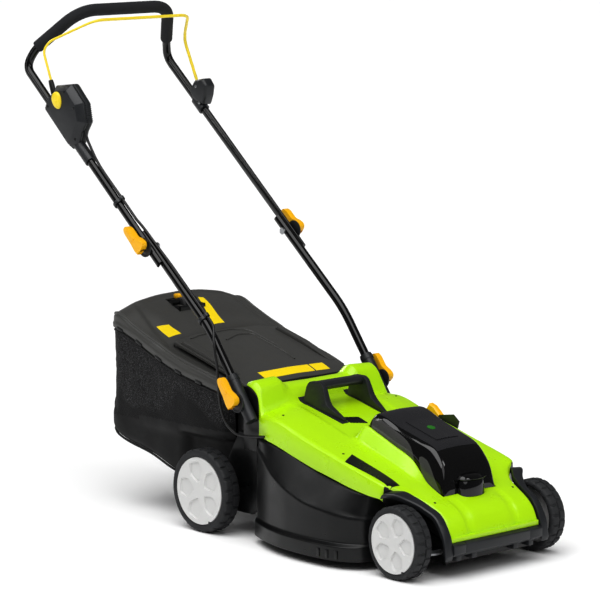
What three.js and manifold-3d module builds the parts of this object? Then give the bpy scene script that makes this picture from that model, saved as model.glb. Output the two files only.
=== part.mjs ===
// Cordless push lawn mower with a rear grass box and a folding handle.
// Millimetres, +Z up, +X towards the mower's front, +Y towards the left wheels.
// While the pieces are made, X = 0 is the rear wheel axle and Z = 0 is the ground;
// the last lines put the origin under the middle of the whole machine.

import * as THREE from 'three';
import { mergeVertices } from 'three/addons/utils/BufferGeometryUtils.js';
import Module from 'manifold-3d';

const wasm = await Module();
wasm.setup();

// ---------------------------------------------------------------- driving dimensions

const GAP = 0.4;                       // running gap between touching pieces
const RIGHT = -1;                      // side factors along Y
const LEFT = 1;
const SIDES = [['right', RIGHT], ['left', LEFT]];

const WHEELBASE = 589;
const FRONT = { name: 'front', x: WHEELBASE, radius: 75, width: 42, outer: 214, hub: 62 };
const REAR = { name: 'rear', x: 0, radius: 90, width: 42, outer: 222, hub: 73 };

const CRANK_RADIUS = 49.5;             // both axles swing on equal cranks
const CRANK_ANGLE = THREE.MathUtils.degToRad(153);
const AXLE_RADIUS = 6;

const WALL = 3.5;                      // moulded shell thickness
const DECK_BOTTOM = 18;
const FLANGE_HEIGHT = 30;
const ROOF_Z = 102;                    // top of the blade chamber's roof
const TUNNEL_X = 222;                  // front of the grass tunnel

const BLADE = { x: 335, z: 40, radius: 178, width: 46, thickness: 3 };

const TUBE_RADIUS = 9.5;
const LOWER_TUBE_Y = 194;
const UPPER_TUBE_Y = 204;
const LOWER_PIVOT = [112, 296];        // X, Z of the handle's fold at the deck
const UPPER_PIVOT = [-182, 595.5];     // X, Z of the fold between the tubes
const BOLT_RADIUS = 3.2;
const CAM_DEPTH = 9;                   // from a cam lever's inner face to its pin
const LEVER_DEPTH = 14;
const LOWER_CLAMP = {
  pivot: LOWER_PIVOT, boltInner: 160.5, washerInner: 208.2, washerOuter: 212.7, leverInner: 216.2,
  tilt: Math.atan(0.75),
};
const UPPER_CLAMP = {
  pivot: UPPER_PIVOT, boltInner: 184, washerInner: 214, washerOuter: 217.4, leverInner: 221,
  tilt: Math.atan(1.176),
};

const GRIP_RADIUS = 13.5;
const BAIL_RADIUS = 3;
const LEAD_RADIUS = 3;

const FLAP_PIVOT = [88, 315];
const LEVER_PIVOT = [325, 212];        // X, Z of the cutting-height lever's pin
const LEVER_LEAN = 0.95;               // the lever leans back this far from upright, in radians

// ---------------------------------------------------------------- solids

function toSolid(geometry) {
  const plain = geometry.clone();
  plain.deleteAttribute('normal');
  plain.deleteAttribute('uv');
  const merged = mergeVertices(plain, 1e-4);
  const solid = new wasm.Manifold(new wasm.Mesh({
    numProp: 3,
    vertProperties: new Float32Array(merged.attributes.position.array),
    triVerts: new Uint32Array(merged.index.array),
  }));
  return solid;
}

function toGeometry(solid) {
  const mesh = solid.getMesh();
  const geometry = new THREE.BufferGeometry();
  geometry.setAttribute('position', new THREE.BufferAttribute(mesh.vertProperties, 3));
  geometry.setIndex(new THREE.BufferAttribute(mesh.triVerts, 1));
  geometry.computeVertexNormals();
  return geometry;
}

function cut(base, ...tools) {
  return toGeometry(tools.reduce((left, tool) => left.subtract(toSolid(tool)), toSolid(base)));
}

function join(base, ...others) {
  return toGeometry(others.reduce((left, other) => left.add(toSolid(other)), toSolid(base)));
}

function common(base, other) {
  return toGeometry(toSolid(base).intersect(toSolid(other)));
}

// A block between two corners.
function block(x0, x1, y0, y1, z0, z1) {
  const geometry = new THREE.BoxGeometry(x1 - x0, y1 - y0, z1 - z0);
  return geometry.translate((x0 + x1) / 2, (y0 + y1) / 2, (z0 + z1) / 2);
}

// A round bar along Y, between y0 and y1, through (x, z).
function barAlongY(radius, y0, y1, x, z, sides = 20) {
  const geometry = new THREE.CylinderGeometry(radius, radius, Math.abs(y1 - y0), sides);
  return geometry.translate(x, (y0 + y1) / 2, z);
}

// A round bar between two points.
function barBetween(a, b, radius, sides = 16) {
  const start = new THREE.Vector3(...a);
  const end = new THREE.Vector3(...b);
  const along = end.clone().sub(start);
  const geometry = new THREE.CylinderGeometry(radius, radius, along.length(), sides);
  const turn = new THREE.Quaternion().setFromUnitVectors(new THREE.Vector3(0, 1, 0), along.normalize());
  return geometry.applyQuaternion(turn).translate(...start.add(end).multiplyScalar(0.5).toArray());
}

// An outline in the X-Z plane, given as [x, z] points, made solid between y0 and y1.
function slab(points, y0, y1, bevel = 0) {
  const shape = new THREE.Shape(points.map(([x, z]) => new THREE.Vector2(x, z)));
  const depth = Math.abs(y1 - y0) - 2 * bevel;
  const geometry = new THREE.ExtrudeGeometry(shape, {
    depth, steps: 1, curveSegments: 8,
    bevelEnabled: bevel > 0, bevelThickness: bevel, bevelSize: bevel, bevelOffset: -bevel, bevelSegments: 1,
  });
  return geometry.rotateX(Math.PI / 2).translate(0, Math.max(y0, y1) - bevel, 0);
}

// A skin over closed rings of points, capped at both ends.
function loft(rings) {
  const count = rings[0].length;
  const points = rings.flat();
  const faces = [];
  for (let ring = 0; ring < rings.length - 1; ring += 1) {
    for (let i = 0; i < count; i += 1) {
      const a = ring * count + i;
      const b = ring * count + (i + 1) % count;
      faces.push([a, b, b + count], [a, b + count, a + count]);
    }
  }
  const lastStart = (rings.length - 1) * count;
  const flat = rings.map((ring) => ring.map(([, y, z]) => new THREE.Vector2(y, z)));
  const winding = THREE.ShapeUtils.isClockWise(flat[0]) ? 1 : -1;
  for (const [a, b, c] of THREE.ShapeUtils.triangulateShape(flat[0], [])) {
    faces.push(winding > 0 ? [a, b, c] : [c, b, a]);
  }
  for (const [a, b, c] of THREE.ShapeUtils.triangulateShape(flat[rings.length - 1], [])) {
    faces.push(winding > 0 ? [lastStart + c, lastStart + b, lastStart + a]
      : [lastStart + a, lastStart + b, lastStart + c]);
  }
  const geometry = new THREE.BufferGeometry();
  geometry.setAttribute('position', new THREE.Float32BufferAttribute(points.flat(), 3));
  geometry.setIndex(windOutwards(points, faces).flat());
  return geometry;
}

// Turns every face round if the closed skin encloses a negative volume.
function windOutwards(points, faces) {
  const volume = faces.reduce((sum, [a, b, c]) => {
    const corner = new THREE.Vector3(...points[a]);
    const side = new THREE.Vector3(...points[b]).cross(new THREE.Vector3(...points[c]));
    return sum + corner.dot(side);
  }, 0);
  return volume > 0 ? faces : faces.map(([a, b, c]) => [a, c, b]);
}

// A ring across the mower at one X, from half of its outline: [y, z] points that run
// from the lowest outer point up to the middle. The last half point may lie at y = 0.
function mirroredRing(x, half) {
  const right = half.map(([y, z]) => [x, -y, z]);
  const left = half.filter(([y]) => y > 0).reverse().map(([y, z]) => [x, y, z]);
  return [...right, ...left];
}

// Straight interpolation in a list of [x, value] pairs.
function along(pairs, x) {
  const next = pairs.findIndex(([px]) => px >= x);
  if (next === 0) return pairs[0][1];
  if (next < 0) return pairs[pairs.length - 1][1];
  const [x0, v0] = pairs[next - 1];
  const [x1, v1] = pairs[next];
  return v0 + (v1 - v0) * (x - x0) / (x1 - x0);
}

// A path of straight runs whose corners are rounded over the given length.
function roundedPath(corners, roundings) {
  const path = new THREE.CurvePath();
  const points = corners.map((corner) => new THREE.Vector3(...corner));
  let from = points[0];
  for (let i = 1; i < points.length - 1; i += 1) {
    const back = points[i - 1].clone().sub(points[i]).normalize().multiplyScalar(roundings[i - 1]);
    const on = points[i + 1].clone().sub(points[i]).normalize().multiplyScalar(roundings[i - 1]);
    const enter = points[i].clone().add(back);
    const leave = points[i].clone().add(on);
    path.add(new THREE.LineCurve3(from, enter));
    path.add(new THREE.QuadraticBezierCurve3(enter, points[i], leave));
    from = leave;
  }
  path.add(new THREE.LineCurve3(from, points[points.length - 1]));
  return path;
}

// A round bar along a path.
function pipe(path, radius, sides, steps) {
  const section = new THREE.Shape();
  for (let i = 0; i < sides; i += 1) {
    const angle = 2 * Math.PI * i / sides;
    const point = [radius * Math.cos(angle), radius * Math.sin(angle)];
    if (i === 0) section.moveTo(...point);
    else section.lineTo(...point);
  }
  return new THREE.ExtrudeGeometry(section, { steps, extrudePath: path, bevelEnabled: false });
}

// ---------------------------------------------------------------- finishes

const FINISHES = {
  deckBlack: { color: 0x232426, roughness: 0.45 },
  trimBlack: { color: 0x33353a, roughness: 0.5 },
  green: { color: 0xa6e000, roughness: 0.35 },
  yellow: { color: 0xf5b80c, roughness: 0.4 },
  wheelGrey: { color: 0xd2d3d5, roughness: 0.5 },
  tyreBlack: { color: 0x2e2f31, roughness: 0.7 },
  tubeBlack: { color: 0x111214, roughness: 0.25, metalness: 0.3 },
  steel: { color: 0x9a9c9f, roughness: 0.35, metalness: 1 },
  foamBlack: { color: 0x37383a, roughness: 0.9 },
  fabricBlack: { color: 0x1f2022, roughness: 0.95 },
  lidGrey: { color: 0x4a4947, roughness: 0.5 },
  coverBlack: { color: 0x0c0c0e, roughness: 0.08 },
  batteryBlack: { color: 0x1b1c1e, roughness: 0.5 },
  keyRed: { color: 0xc02418, roughness: 0.4 },
};

const mower = new THREE.Group();

function piece(name, geometry, finish, parent = mower) {
  const mesh = new THREE.Mesh(geometry, new THREE.MeshStandardMaterial(FINISHES[finish]));
  mesh.name = name;
  parent.add(mesh);
  return mesh;
}

// ---------------------------------------------------------------- wheels and axles

// A [radius, across] profile turned about the wheel's own axle, which lies along Y.
// A facet, rather than an edge, faces down.
function turned(profile, segments) {
  const points = profile.map(([radius, across]) => new THREE.Vector2(radius, across));
  return new THREE.LatheGeometry(points, segments, Math.PI / segments);
}

function tyre(wheel) {
  const half = wheel.width / 2;
  const segments = 36;
  const tread = wheel.radius / Math.cos(Math.PI / segments);
  const shoulder = tread - 6;
  return turned([
    [wheel.hub, -half + 2], [shoulder, -half], [tread, -half + 7],
    [tread, half - 7], [shoulder, half], [wheel.hub, half - 2], [wheel.hub, -half + 2],
  ], segments);
}

// The hub's disc is dished a little and its boss holds a blind bore for the axle's end.
function hub(wheel) {
  const half = wheel.width / 2;
  const rim = wheel.hub - GAP;
  const bore = AXLE_RADIUS + 0.5;
  return turned([
    [0, half - 12], [bore, half - 12], [bore, -half + 1], [16, -half + 1],
    [20, half - 11], [rim, half - 9], [rim, half - 1], [0, half - 3],
  ], 28);
}

function wheelCentre(wheel, side) {
  return [wheel.x, side * (wheel.outer - wheel.width / 2), wheel.radius];
}

function addWheels() {
  for (const wheel of [FRONT, REAR]) {
    for (const [sideName, side] of SIDES) {
      const group = new THREE.Group();
      group.position.set(...wheelCentre(wheel, side));
      group.rotation.z = side === RIGHT ? Math.PI : 0;
      piece(`${wheel.name}_tyre_${sideName}`, tyre(wheel), 'tyreBlack', group);
      piece(`${wheel.name}_hub_${sideName}`, hub(wheel), 'wheelGrey', group);
      mower.add(group);
    }
  }
}

function crankPivot(wheel) {
  return [
    wheel.x - CRANK_RADIUS * Math.cos(CRANK_ANGLE),
    wheel.radius - CRANK_RADIUS * Math.sin(CRANK_ANGLE),
  ];
}

// One bent steel rod: its middle turns in the deck, and its cranked ends carry the wheels.
function crankedAxle(wheel, pivotHalf) {
  const [pivotX, pivotZ] = crankPivot(wheel);
  const inner = wheel.outer - wheel.width - 6;
  const end = wheel.outer - 16;
  const corners = [
    [wheel.x, -end, wheel.radius], [wheel.x, -inner, wheel.radius],
    [pivotX, -pivotHalf, pivotZ], [pivotX, pivotHalf, pivotZ],
    [wheel.x, inner, wheel.radius], [wheel.x, end, wheel.radius],
  ];
  return pipe(roundedPath(corners, [5, 5, 5, 5]), AXLE_RADIUS, 8, 40);
}

// ---------------------------------------------------------------- deck

// Height of the line where the green hood meets the black deck.
const HOOD_EDGE = [
  [100, 222], [150, 225], [175, 230], [200, 223], [337, 186], [444, 164], [527, 154], [560, 150],
];

// x, flange half width, wall half width, shoulder height, top half width, top height
const DECK_STATIONS = [
  [142, 186, 181, 208, 176, 221],
  [152, 197, 190, 206, 186, 221],
  [175, 209, 200, 196, 193, 222],
  [235, 231, 221, 167, 194, 212],
  [295, 243, 233, 146, 194, 196],
  [350, 246, 236, 131, 194, 181],
  [410, 243, 232, 122, 194, 169],
  [450, 234, 222, 116, 194, 161],
  [484, 212, 200, 112, 188, 156],
  [502, 172, 166, 110, 162, 153],
  [540, 126, 122, 108, 121, 145],
  [600, 124, 121, 95, 120, 118],
  [650, 122, 120, 77, 118, 84],
];

function deckRing([x, flange, wall, shoulder, top, topZ], inset, bottom) {
  const z0 = Math.max(DECK_BOTTOM, along([[500, DECK_BOTTOM], [545, 28]], x));
  const foot = bottom ?? z0;
  return mirroredRing(x, [
    [flange - inset, foot], [flange - inset, z0 + FLANGE_HEIGHT - inset],
    [wall - inset, z0 + FLANGE_HEIGHT + 5 - inset], [wall - inset, shoulder - 8 - inset],
    [wall - 5 - inset, shoulder - inset], [top - inset, topZ - inset], [0, topZ - inset],
  ]);
}

function deckHousing() {
  const outer = loft(DECK_STATIONS.map((station) => deckRing(station, 0)));
  const first = DECK_STATIONS[0];
  const last = DECK_STATIONS[DECK_STATIONS.length - 1];
  const innerStations = [
    [first[0] + WALL, ...first.slice(1)],
    ...DECK_STATIONS.slice(1, -1),
    [last[0] - WALL, ...last.slice(1)],
  ];
  const inner = loft(innerStations.map((station) => deckRing(station, WALL, -10)));
  const discharge = block(120, 165, -122, 122, 74, 204);
  const [pivotX, pivotZ] = crankPivot(FRONT);
  const axleHole = barAlongY(AXLE_RADIUS + 0.5, -140, 140, pivotX, pivotZ);
  const shaftHole = new THREE.CylinderGeometry(12, 12, 60, 20).rotateX(Math.PI / 2).translate(BLADE.x, 0, ROOF_Z);
  const arms = SIDES.map(([, side]) => rearArm(side));
  const hollow = cut(join(outer, ...arms), inner, motorOpening());
  const midWall = loft(DECK_STATIONS.map((station) => deckRing(station, WALL / 2)));
  const roof = common(chamberRoof(), midWall);
  const housing = cut(join(hollow, roof, ...arms), discharge, axleHole, shaftHole);
  return cut(housing, barAlongY(AXLE_RADIUS + 0.5, -200, 200, ...crankPivot(REAR)));
}

// The roof of the blade's chamber carries the motor; behind it the grass tunnel rises to the rear.
function chamberRoof() {
  const roof = block(TUNNEL_X, 520, -250, 250, ROOF_Z - WALL, ROOF_Z);
  const wall = block(TUNNEL_X, TUNNEL_X + WALL, -250, 250, ROOF_Z - WALL, 225);
  return join(roof, wall);
}

// The deck's top is open over the motor; the hood covers it.
function motorOpening() {
  return block(TUNNEL_X + 15, 470, -150, 150, 130, 240);
}

// The arm that reaches back from the deck to the rear axle.
function rearArm(side) {
  const outline = [
    [-22, 62], [-22, 108], [20, 150], [60, 222], [148, 222], [148, 74], [100, 46], [20, 46],
  ];
  return slab(outline, side * 150, side * 160);
}

// ---------------------------------------------------------------- hood

// x, then half outline points [y, z]: lower edge, crease, inner edge of the rear hump,
// foot of the hump, foot of the raised spine, edge of the spine, middle
const HOOD_STATIONS = [
  [100, [176, 214], [176, 322], [168, 333], [108, 336], [90, 322], [84, 321], [78, 321], [0, 320]],
  [118, [177, 214], [177, 326], [168, 338], [108, 341], [90, 325], [84, 324], [78, 324], [0, 323]],
  [138, [178, 218], [178, 312], [169, 328], [109, 332], [92, 320], [86, 319], [80, 319], [0, 318]],
  [150, [181, 224], [181, 290], [174, 302], [114, 308], [98, 306], [88, 305], [82, 305], [0, 305]],
  [162, [187, 228], [186, 268], [178, 276], [130, 284], [106, 289], [90, 289], [82, 289], [0, 290]],
  [195, [195, 223], [191, 268], [184, 274], [140, 281], [108, 285], [94, 282], [82, 281], [0, 283]],
  [282, [195, 200], [191, 245], [184, 250], [150, 256], [106, 261], [98, 260], [80, 260], [0, 262]],
  [345, [195, 184], [191, 228], [184, 233], [150, 238], [107, 242], [98, 242], [82, 244], [0, 246]],
  [366, [195, 180], [191, 223], [184, 228], [150, 232], [108, 236], [98, 240], [81, 267], [0, 268]],
  [400, [195, 173], [191, 214], [184, 219], [150, 221], [108, 224], [98, 228], [81, 256], [0, 257]],
  [450, [195, 163], [191, 202], [184, 206], [150, 207], [110, 209], [98, 212], [80, 237], [0, 238]],
  [505, [195, 156], [191, 188], [184, 192], [150, 191], [112, 191], [99, 194], [79, 215], [0, 216]],
  [530, [193, 154], [189, 181], [182, 184], [150, 182], [112, 182], [98, 183], [78, 192], [0, 193]],
  [548, [166, 120], [164, 166], [158, 172], [140, 174], [112, 174], [97, 174], [77, 174], [0, 174]],
  [575, [142, 104], [140, 152], [135, 158], [125, 159], [110, 160], [96, 160], [77, 160], [0, 160]],
  [612, [130, 92], [129, 138], [124, 143], [116, 144], [104, 145], [92, 145], [77, 145], [0, 146]],
  [640, [127, 82], [126, 122], [122, 127], [114, 128], [103, 128], [90, 129], [76, 130], [0, 131]],
  [656, [126, 78], [126, 104], [122, 108], [113, 109], [102, 110], [90, 110], [76, 111], [0, 112]],
  [666, [126, 76.5], [126, 82], [122, 84], [113, 85], [102, 85], [90, 86], [76, 86], [0, 86]],
];

function hoodRing([x, ...half], inset, shiftX) {
  const skin = half.map(([y, z], index) => {
    const isLowest = index === 0;
    return [Math.max(y - (y > 0 ? inset : 0), 0), isLowest ? z - (inset > 0 ? 40 : 0) : z - inset];
  });
  return mirroredRing(x + shiftX, skin);
}

// Handle posts stand in the hood's rear corners, under a rounded roof.
function postOutline(grow) {
  const points = [[60, 190], [147 + grow, 190]];
  const centre = [104, 286];
  for (let i = 0; i <= 6; i += 1) {
    const angle = THREE.MathUtils.degToRad(i * 15);
    points.push([centre[0] + (43 + grow) * Math.cos(angle), centre[1] + (40 + grow) * Math.sin(angle)]);
  }
  points.push([60, 325 + grow]);
  return points;
}

const BAY = { x0: 371, x1: 594, half: 76.8 };

function hoodSkin(grow) {
  return loft(HOOD_STATIONS.map((station) => hoodRing(station, -grow, 0)));
}

function hoodCover() {
  const inner = loft(HOOD_STATIONS.map((station, index) => {
    const shift = index === 0 ? -5 : 0;
    return hoodRing(station, WALL, index === HOOD_STATIONS.length - 1 ? -WALL : shift);
  }));
  const posts = SIDES.map(([, side]) => slab(postOutline(1), side * 158, side * 215));
  const bay = slab([
    [BAY.x0, 400], [BAY.x0, 200], [560, 120], [BAY.x1, 120], [BAY.x1, 400],
  ], -BAY.half, BAY.half);
  return cut(hoodSkin(0), inner, ...posts, bay);
}

function handleBracket(side) {
  const [, , ...arch] = postOutline(0);
  const outline = [[97, 190], [140, 190], [140, 224], [147, 224], ...arch.map(([x, z]) => [Math.max(x, 97), z])];
  const post = slab(outline, side * 161, side * 179.5);
  const hole = barAlongY(BOLT_RADIUS + 0.6, side * 150, side * 190, ...LOWER_PIVOT);
  return cut(post, hole);
}

// ---------------------------------------------------------------- front trim

function frontBumper() {
  const outline = [[651, 48], [651, 74], [668, 75.5], [678, 72], [678, 54], [670, 47]];
  const bar = slab(outline, -127, 127);
  const mouth = block(640, 668, -118, 118, 40, 70);
  return cut(bar, mouth);
}

// The black edge round each front wheel: a strip that follows the hood's cut-away corner.
function archTrim(side) {
  const inner = [
    [538, 164, 186, 197], [548, 168, 169, 197], [560, 168, 158, 190], [580, 158, 143, 169.5],
    [612, 142, 132.5, 152], [642, 127, 128.5, 148], [660, 104, 128, 148], [672, 78, 128, 148],
    [676, 50, 128, 148],
  ];
  const rings = inner.map(([x, z, y0, y1]) => [
    [x, side * y0, z + 3], [x, side * y1, z], [x - 4, side * y1, z - 9], [x - 4, side * y0, z - 9],
  ]);
  return cut(loft(rings), hoodSkin(GAP));
}

// ---------------------------------------------------------------- carrying handle

function carryHandle() {
  const inner = 57;
  const outer = 71;
  const legProfile = [
    [157, 293], [172, 322], [184, 333], [212, 334], [226, 326], [240, 288], [280, 266],
    [280, 263.5], [240, 273], [186, 286],
  ];
  const legs = SIDES.map(([, side]) => slab(legProfile, side * inner, side * outer));
  const bar = slab([[186, 318], [184, 333], [211, 334], [214, 321]], -inner - 4, inner + 4);
  return cut(join(bar, ...legs), hoodSkin(GAP));
}

// ---------------------------------------------------------------- battery bay

// x, bottom height, top height, bottom half width, top half width
const COVER_STATIONS = [
  [372, 262, 272, 70, 64],
  [376, 260, 284, 75, 67],
  [388, 256, 292, 76, 66],
  [451, 233, 272, 76, 65],
  [507, 211, 256, 76, 64],
  [546, 160, 244, 75.5, 62],
  [570, 148, 224, 75, 62],
  [586, 148, 198, 74, 63],
  [593, 148, 162, 72, 64],
];

function coverRing([x, bottom, top, low, high], inset, drop) {
  return mirroredRing(x, [
    [low - inset, bottom - drop], [low - inset, bottom + 3 + (top - bottom) * 0.35],
    [high + 5 - inset, top - 7 - inset], [high - 4 - inset, top - inset], [0, top + 3 - inset],
  ]);
}

function batteryCover() {
  const outer = loft(COVER_STATIONS.map((station) => coverRing(station, 0, 0)));
  const inner = loft(COVER_STATIONS.map((station, index) => {
    const [x, ...rest] = station;
    const ends = [3, 0, 0, 0, 0, 0, 0, 0, -3];
    return coverRing([x + ends[index], ...rest], 3, 60);
  }));
  const lip = slab([
    [585, 158], [585, 184], [600, 182], [612, 174], [619, 151], [611, 151], [597, 156],
  ], -26, 26, 1);
  return cut(join(outer, lip), inner);
}

function batteryTray() {
  const tray = block(392, 536, -64, 64, 178, 205);
  const bay = block(396, 532, -60, 60, 182, 240);
  const rail = block(388, 392.5, -30, 30, 178, 238);
  return cut(join(tray, rail), bay);
}

function batteryPack() {
  const outline = [[397, 183], [397, 246], [470, 236], [520, 222], [531, 200], [531, 183]];
  return slab(outline, -54, 54, 2);
}

// ---------------------------------------------------------------- motor and blade

function motor() {
  const can = new THREE.CylinderGeometry(54, 60, 72, 28).rotateX(Math.PI / 2)
    .translate(BLADE.x, 0, ROOF_Z + GAP + 36);
  const shaft = new THREE.CylinderGeometry(8, 8, 52, 16).rotateX(Math.PI / 2).translate(BLADE.x, 0, 83);
  return join(can, shaft);
}

function bladeCarrier() {
  const hubPart = new THREE.CylinderGeometry(24, 28, 20, 24).rotateX(Math.PI / 2);
  const bore = new THREE.CylinderGeometry(8.5, 8.5, 30, 16).rotateX(Math.PI / 2).translate(0, 0, 8);
  const bolt = new THREE.CylinderGeometry(11, 11, 9, 6).rotateX(Math.PI / 2).translate(0, 0, -18);
  const neck = new THREE.CylinderGeometry(5.5, 5.5, 12, 14).rotateX(Math.PI / 2).translate(0, 0, -11);
  return join(cut(hubPart, bore), bolt, neck).translate(BLADE.x, 0, BLADE.z + BLADE.thickness + GAP + 10);
}

// A flat bar whose trailing tips are turned up to throw the grass.
function blade() {
  const half = BLADE.width / 2;
  const points = [
    [BLADE.radius, -half], [BLADE.radius, half - 14],
    [BLADE.radius - 70, half], [-BLADE.radius, half], [-BLADE.radius, -half + 14],
    [-BLADE.radius + 70, -half],
  ];
  const shape = new THREE.Shape(points.map(([x, y]) => new THREE.Vector2(x, y)));
  const hole = new THREE.Path();
  hole.absarc(0, 0, 6, 0, 2 * Math.PI, true);
  shape.holes.push(hole);
  const bar = new THREE.ExtrudeGeometry(shape, { depth: BLADE.thickness, bevelEnabled: false, curveSegments: 7 });
  const tips = [1, -1].map((end) => slab([
    [0, 0], [70, 0], [70, 2], [0, 2],
  ], -1.5, 1.5).rotateX(-0.5).translate(end > 0 ? BLADE.radius - 150 : -BLADE.radius + 80, end * (half - 2), 2));
  return join(bar, ...tips).translate(BLADE.x, 0, BLADE.z);
}

// ---------------------------------------------------------------- height lever

function heightLever() {
  const [x, z] = LEVER_PIVOT;
  const arm = slab([[-8, -8], [8, -8], [7, 44], [-5, 44]], 201, 206);
  const pin = barAlongY(5, 198.5, 206, 0, 0);
  return join(arm, pin).rotateY(-LEVER_LEAN).translate(x, 0, z);
}

function heightKnob() {
  const [x, z] = LEVER_PIVOT;
  const knob = slab([[-12, 30], [12, 30], [15, 62], [10, 76], [-8, 76], [-14, 62]], 198.7, 214, 3);
  const socket = slab([[-9, 20], [9, 20], [9, 44.6], [-9, 44.6]], 200.6, 206.4);
  return cut(knob, socket).rotateY(-LEVER_LEAN).translate(x, 0, z);
}

function heightQuadrant() {
  const [x, z] = LEVER_PIVOT;
  const plate = slab([[-22, -6], [30, -9], [44, 18], [30, 34], [-14, 36], [-26, 22]], 195.6, 198);
  return plate.rotateY(-0.2).translate(x, 0, z);
}

// ---------------------------------------------------------------- handle tubes

function onUpperTube(z) {
  return -305 - 1.176 * (z - 700);
}

function onLowerTube(z) {
  return z > 441 ? -66.6 - 1.189 * (z - 500) : 35.2 - 0.75 * (z - 400);
}

function boltHole(pivot, side) {
  return barAlongY(BOLT_RADIUS + 0.3, side * 150, side * 240, ...pivot, 12);
}

function lowerTube(side) {
  const y = side * LOWER_TUBE_Y;
  const corners = [
    [onLowerTube(268), y, 268], [4.5, y, 441], [onLowerTube(622), y, 622],
  ];
  const tube = pipe(roundedPath(corners, [35]), TUBE_RADIUS, 10, 16);
  return cut(tube, boltHole(LOWER_PIVOT, side), boltHole(UPPER_PIVOT, side));
}

// The plastic foot that holds the tube's lower end.
function tubeFoot(side) {
  const y = side * LOWER_TUBE_Y;
  const foot = barBetween([onLowerTube(258), y, 258], [onLowerTube(346), y, 346], 13.5, 18);
  const bore = barBetween([onLowerTube(267), y, 267], [onLowerTube(360), y, 360], TUBE_RADIUS + GAP, 18);
  return cut(foot, bore, boltHole(LOWER_PIVOT, side));
}

const TOP_CORNERS = [
  [onUpperTube(958), UPPER_TUBE_Y, 958],
  [-594, 190, 998.5],
  [-511, 127, 1085],
];

function handlePath() {
  const half = [[onUpperTube(562), UPPER_TUBE_Y, 562], ...TOP_CORNERS];
  const right = half.map(([x, y, z]) => [x, -y, z]);
  return roundedPath([...right, ...half.reverse()], [26, 12, 30, 30, 12, 26]);
}

function handleBar() {
  const bar = pipe(handlePath(), TUBE_RADIUS, 10, 64);
  const flats = SIDES.map(([, side]) => block(-250, -100, Math.min(side * 150, side * 204.2),
    Math.max(side * 150, side * 204.2), 520, 648));
  return cut(bar, ...flats, ...SIDES.map(([, side]) => boltHole(UPPER_PIVOT, side)));
}

function foamGrip() {
  const [, start, corner] = TOP_CORNERS;
  const lead = new THREE.Vector3(...corner).sub(new THREE.Vector3(...start)).normalize().multiplyScalar(6);
  const first = new THREE.Vector3(...start).add(lead).toArray();
  const half = [first, corner];
  const right = half.map(([x, y, z]) => [x, -y, z]);
  const path = roundedPath([...right, ...half.reverse()], [30, 30]);
  const sleeve = pipe(path, GRIP_RADIUS, 12, 24);
  return cut(sleeve, pipe(handlePath(), TUBE_RADIUS + GAP + 0.3, 10, 64));
}

// ---------------------------------------------------------------- quick-release clamps

function clampBolt({ pivot, boltInner, leverInner }, side) {
  const rod = barAlongY(BOLT_RADIUS, side * boltInner, side * (leverInner + CAM_DEPTH - 1), ...pivot, 12);
  const head = barAlongY(8, side * (boltInner - 5), side * boltInner, ...pivot, 6);
  return join(rod, head);
}

function cupWasher({ pivot, washerInner, washerOuter }, side) {
  return cut(barAlongY(21, side * washerInner, side * washerOuter, ...pivot, 24), boltHole(pivot, side));
}

// The cam lever turns on a pin across the bolt; its slotted end straddles the bolt.
// Closed, it lies along its tube, which leans back from upright by tilt.
function camLever({ pivot, leverInner, tilt }, side) {
  const arm = slab([
    [-11, -7], [0, -9], [11, -7], [14, 2], [13, 20], [11, 48], [7, 60], [-5, 62], [-11, 52], [-13, 20], [-14, 2],
  ], side * leverInner, side * (leverInner + LEVER_DEPTH), 2);
  const slotDepth = [side * (leverInner - 10), side * (leverInner + CAM_DEPTH + 4)].sort((p, q) => p - q);
  return cut(arm, block(-4, 4, ...slotDepth, -20, 8)).rotateY(-tilt).translate(pivot[0], 0, pivot[1]);
}

// ---------------------------------------------------------------- controls on the handle

const BOX_INNER = 188;
const BOX_SPLIT = 206;
const BOX_OUTER = 226;
const BOX_OUTLINE = [
  [-528, 872], [-519, 895], [-502, 908], [-489, 925], [-436, 931], [-396, 893],
  [-387, 848], [-402, 826], [-412, 800], [-432, 788],
];

function clampBore() {
  return barBetween([onUpperTube(740), -UPPER_TUBE_Y, 740], [onUpperTube(940), -UPPER_TUBE_Y, 940],
    TUBE_RADIUS + GAP, 18);
}

function bailSlot(side) {
  return slab([[-527, 890], [-490, 888], [-484, 945], [-548, 945]], side * 202.5, side * 211.5);
}

function buttonSlot() {
  return join(buttonShape(0.8, 12), buttonShape(0.8, 12).translate(0, 5, 0));
}

function switchBox() {
  const half = slab(BOX_OUTLINE, -BOX_SPLIT + GAP, -BOX_INNER, 2);
  return cut(half, clampBore(), bailSlot(RIGHT), leadHole());
}

function switchBoxLid() {
  const half = slab(BOX_OUTLINE, -BOX_OUTER, -BOX_SPLIT, 2);
  return cut(half, clampBore(), bailSlot(RIGHT), buttonSlot(), leadHole());
}

function leadHole() {
  return barBetween([-404, -204, 838], [-380, -204, 790], LEAD_RADIUS + 0.5, 10);
}

// The lock button is a low egg-shaped dome that is pushed in along Y.
function buttonShape(grow, top) {
  const radius = 16 + grow;
  const profile = [[0, -8], [radius, -8], [radius, 0], [radius * 0.75, top * 0.7], [0, top]];
  const dome = new THREE.LatheGeometry(profile.map(([r, h]) => new THREE.Vector2(r, h)), 20);
  return dome.scale(1, 1, 1.25).rotateX(Math.PI).rotateY(-0.4).translate(-470, -BOX_OUTER, 894);
}

function lockButton() {
  return buttonShape(0, 6);
}

const BAIL_CORNERS = [
  [-506, 207, 912], [-545, 205, 998], [-534, 196, 1019], [-448, 134, 1067],
];

function bailBar() {
  const right = BAIL_CORNERS.map(([x, y, z]) => [x, -y, z]);
  const path = roundedPath([...right, ...[...BAIL_CORNERS].reverse()], [12, 10, 22, 22, 10, 12]);
  return pipe(path, BAIL_RADIUS, 6, 60);
}

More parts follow.
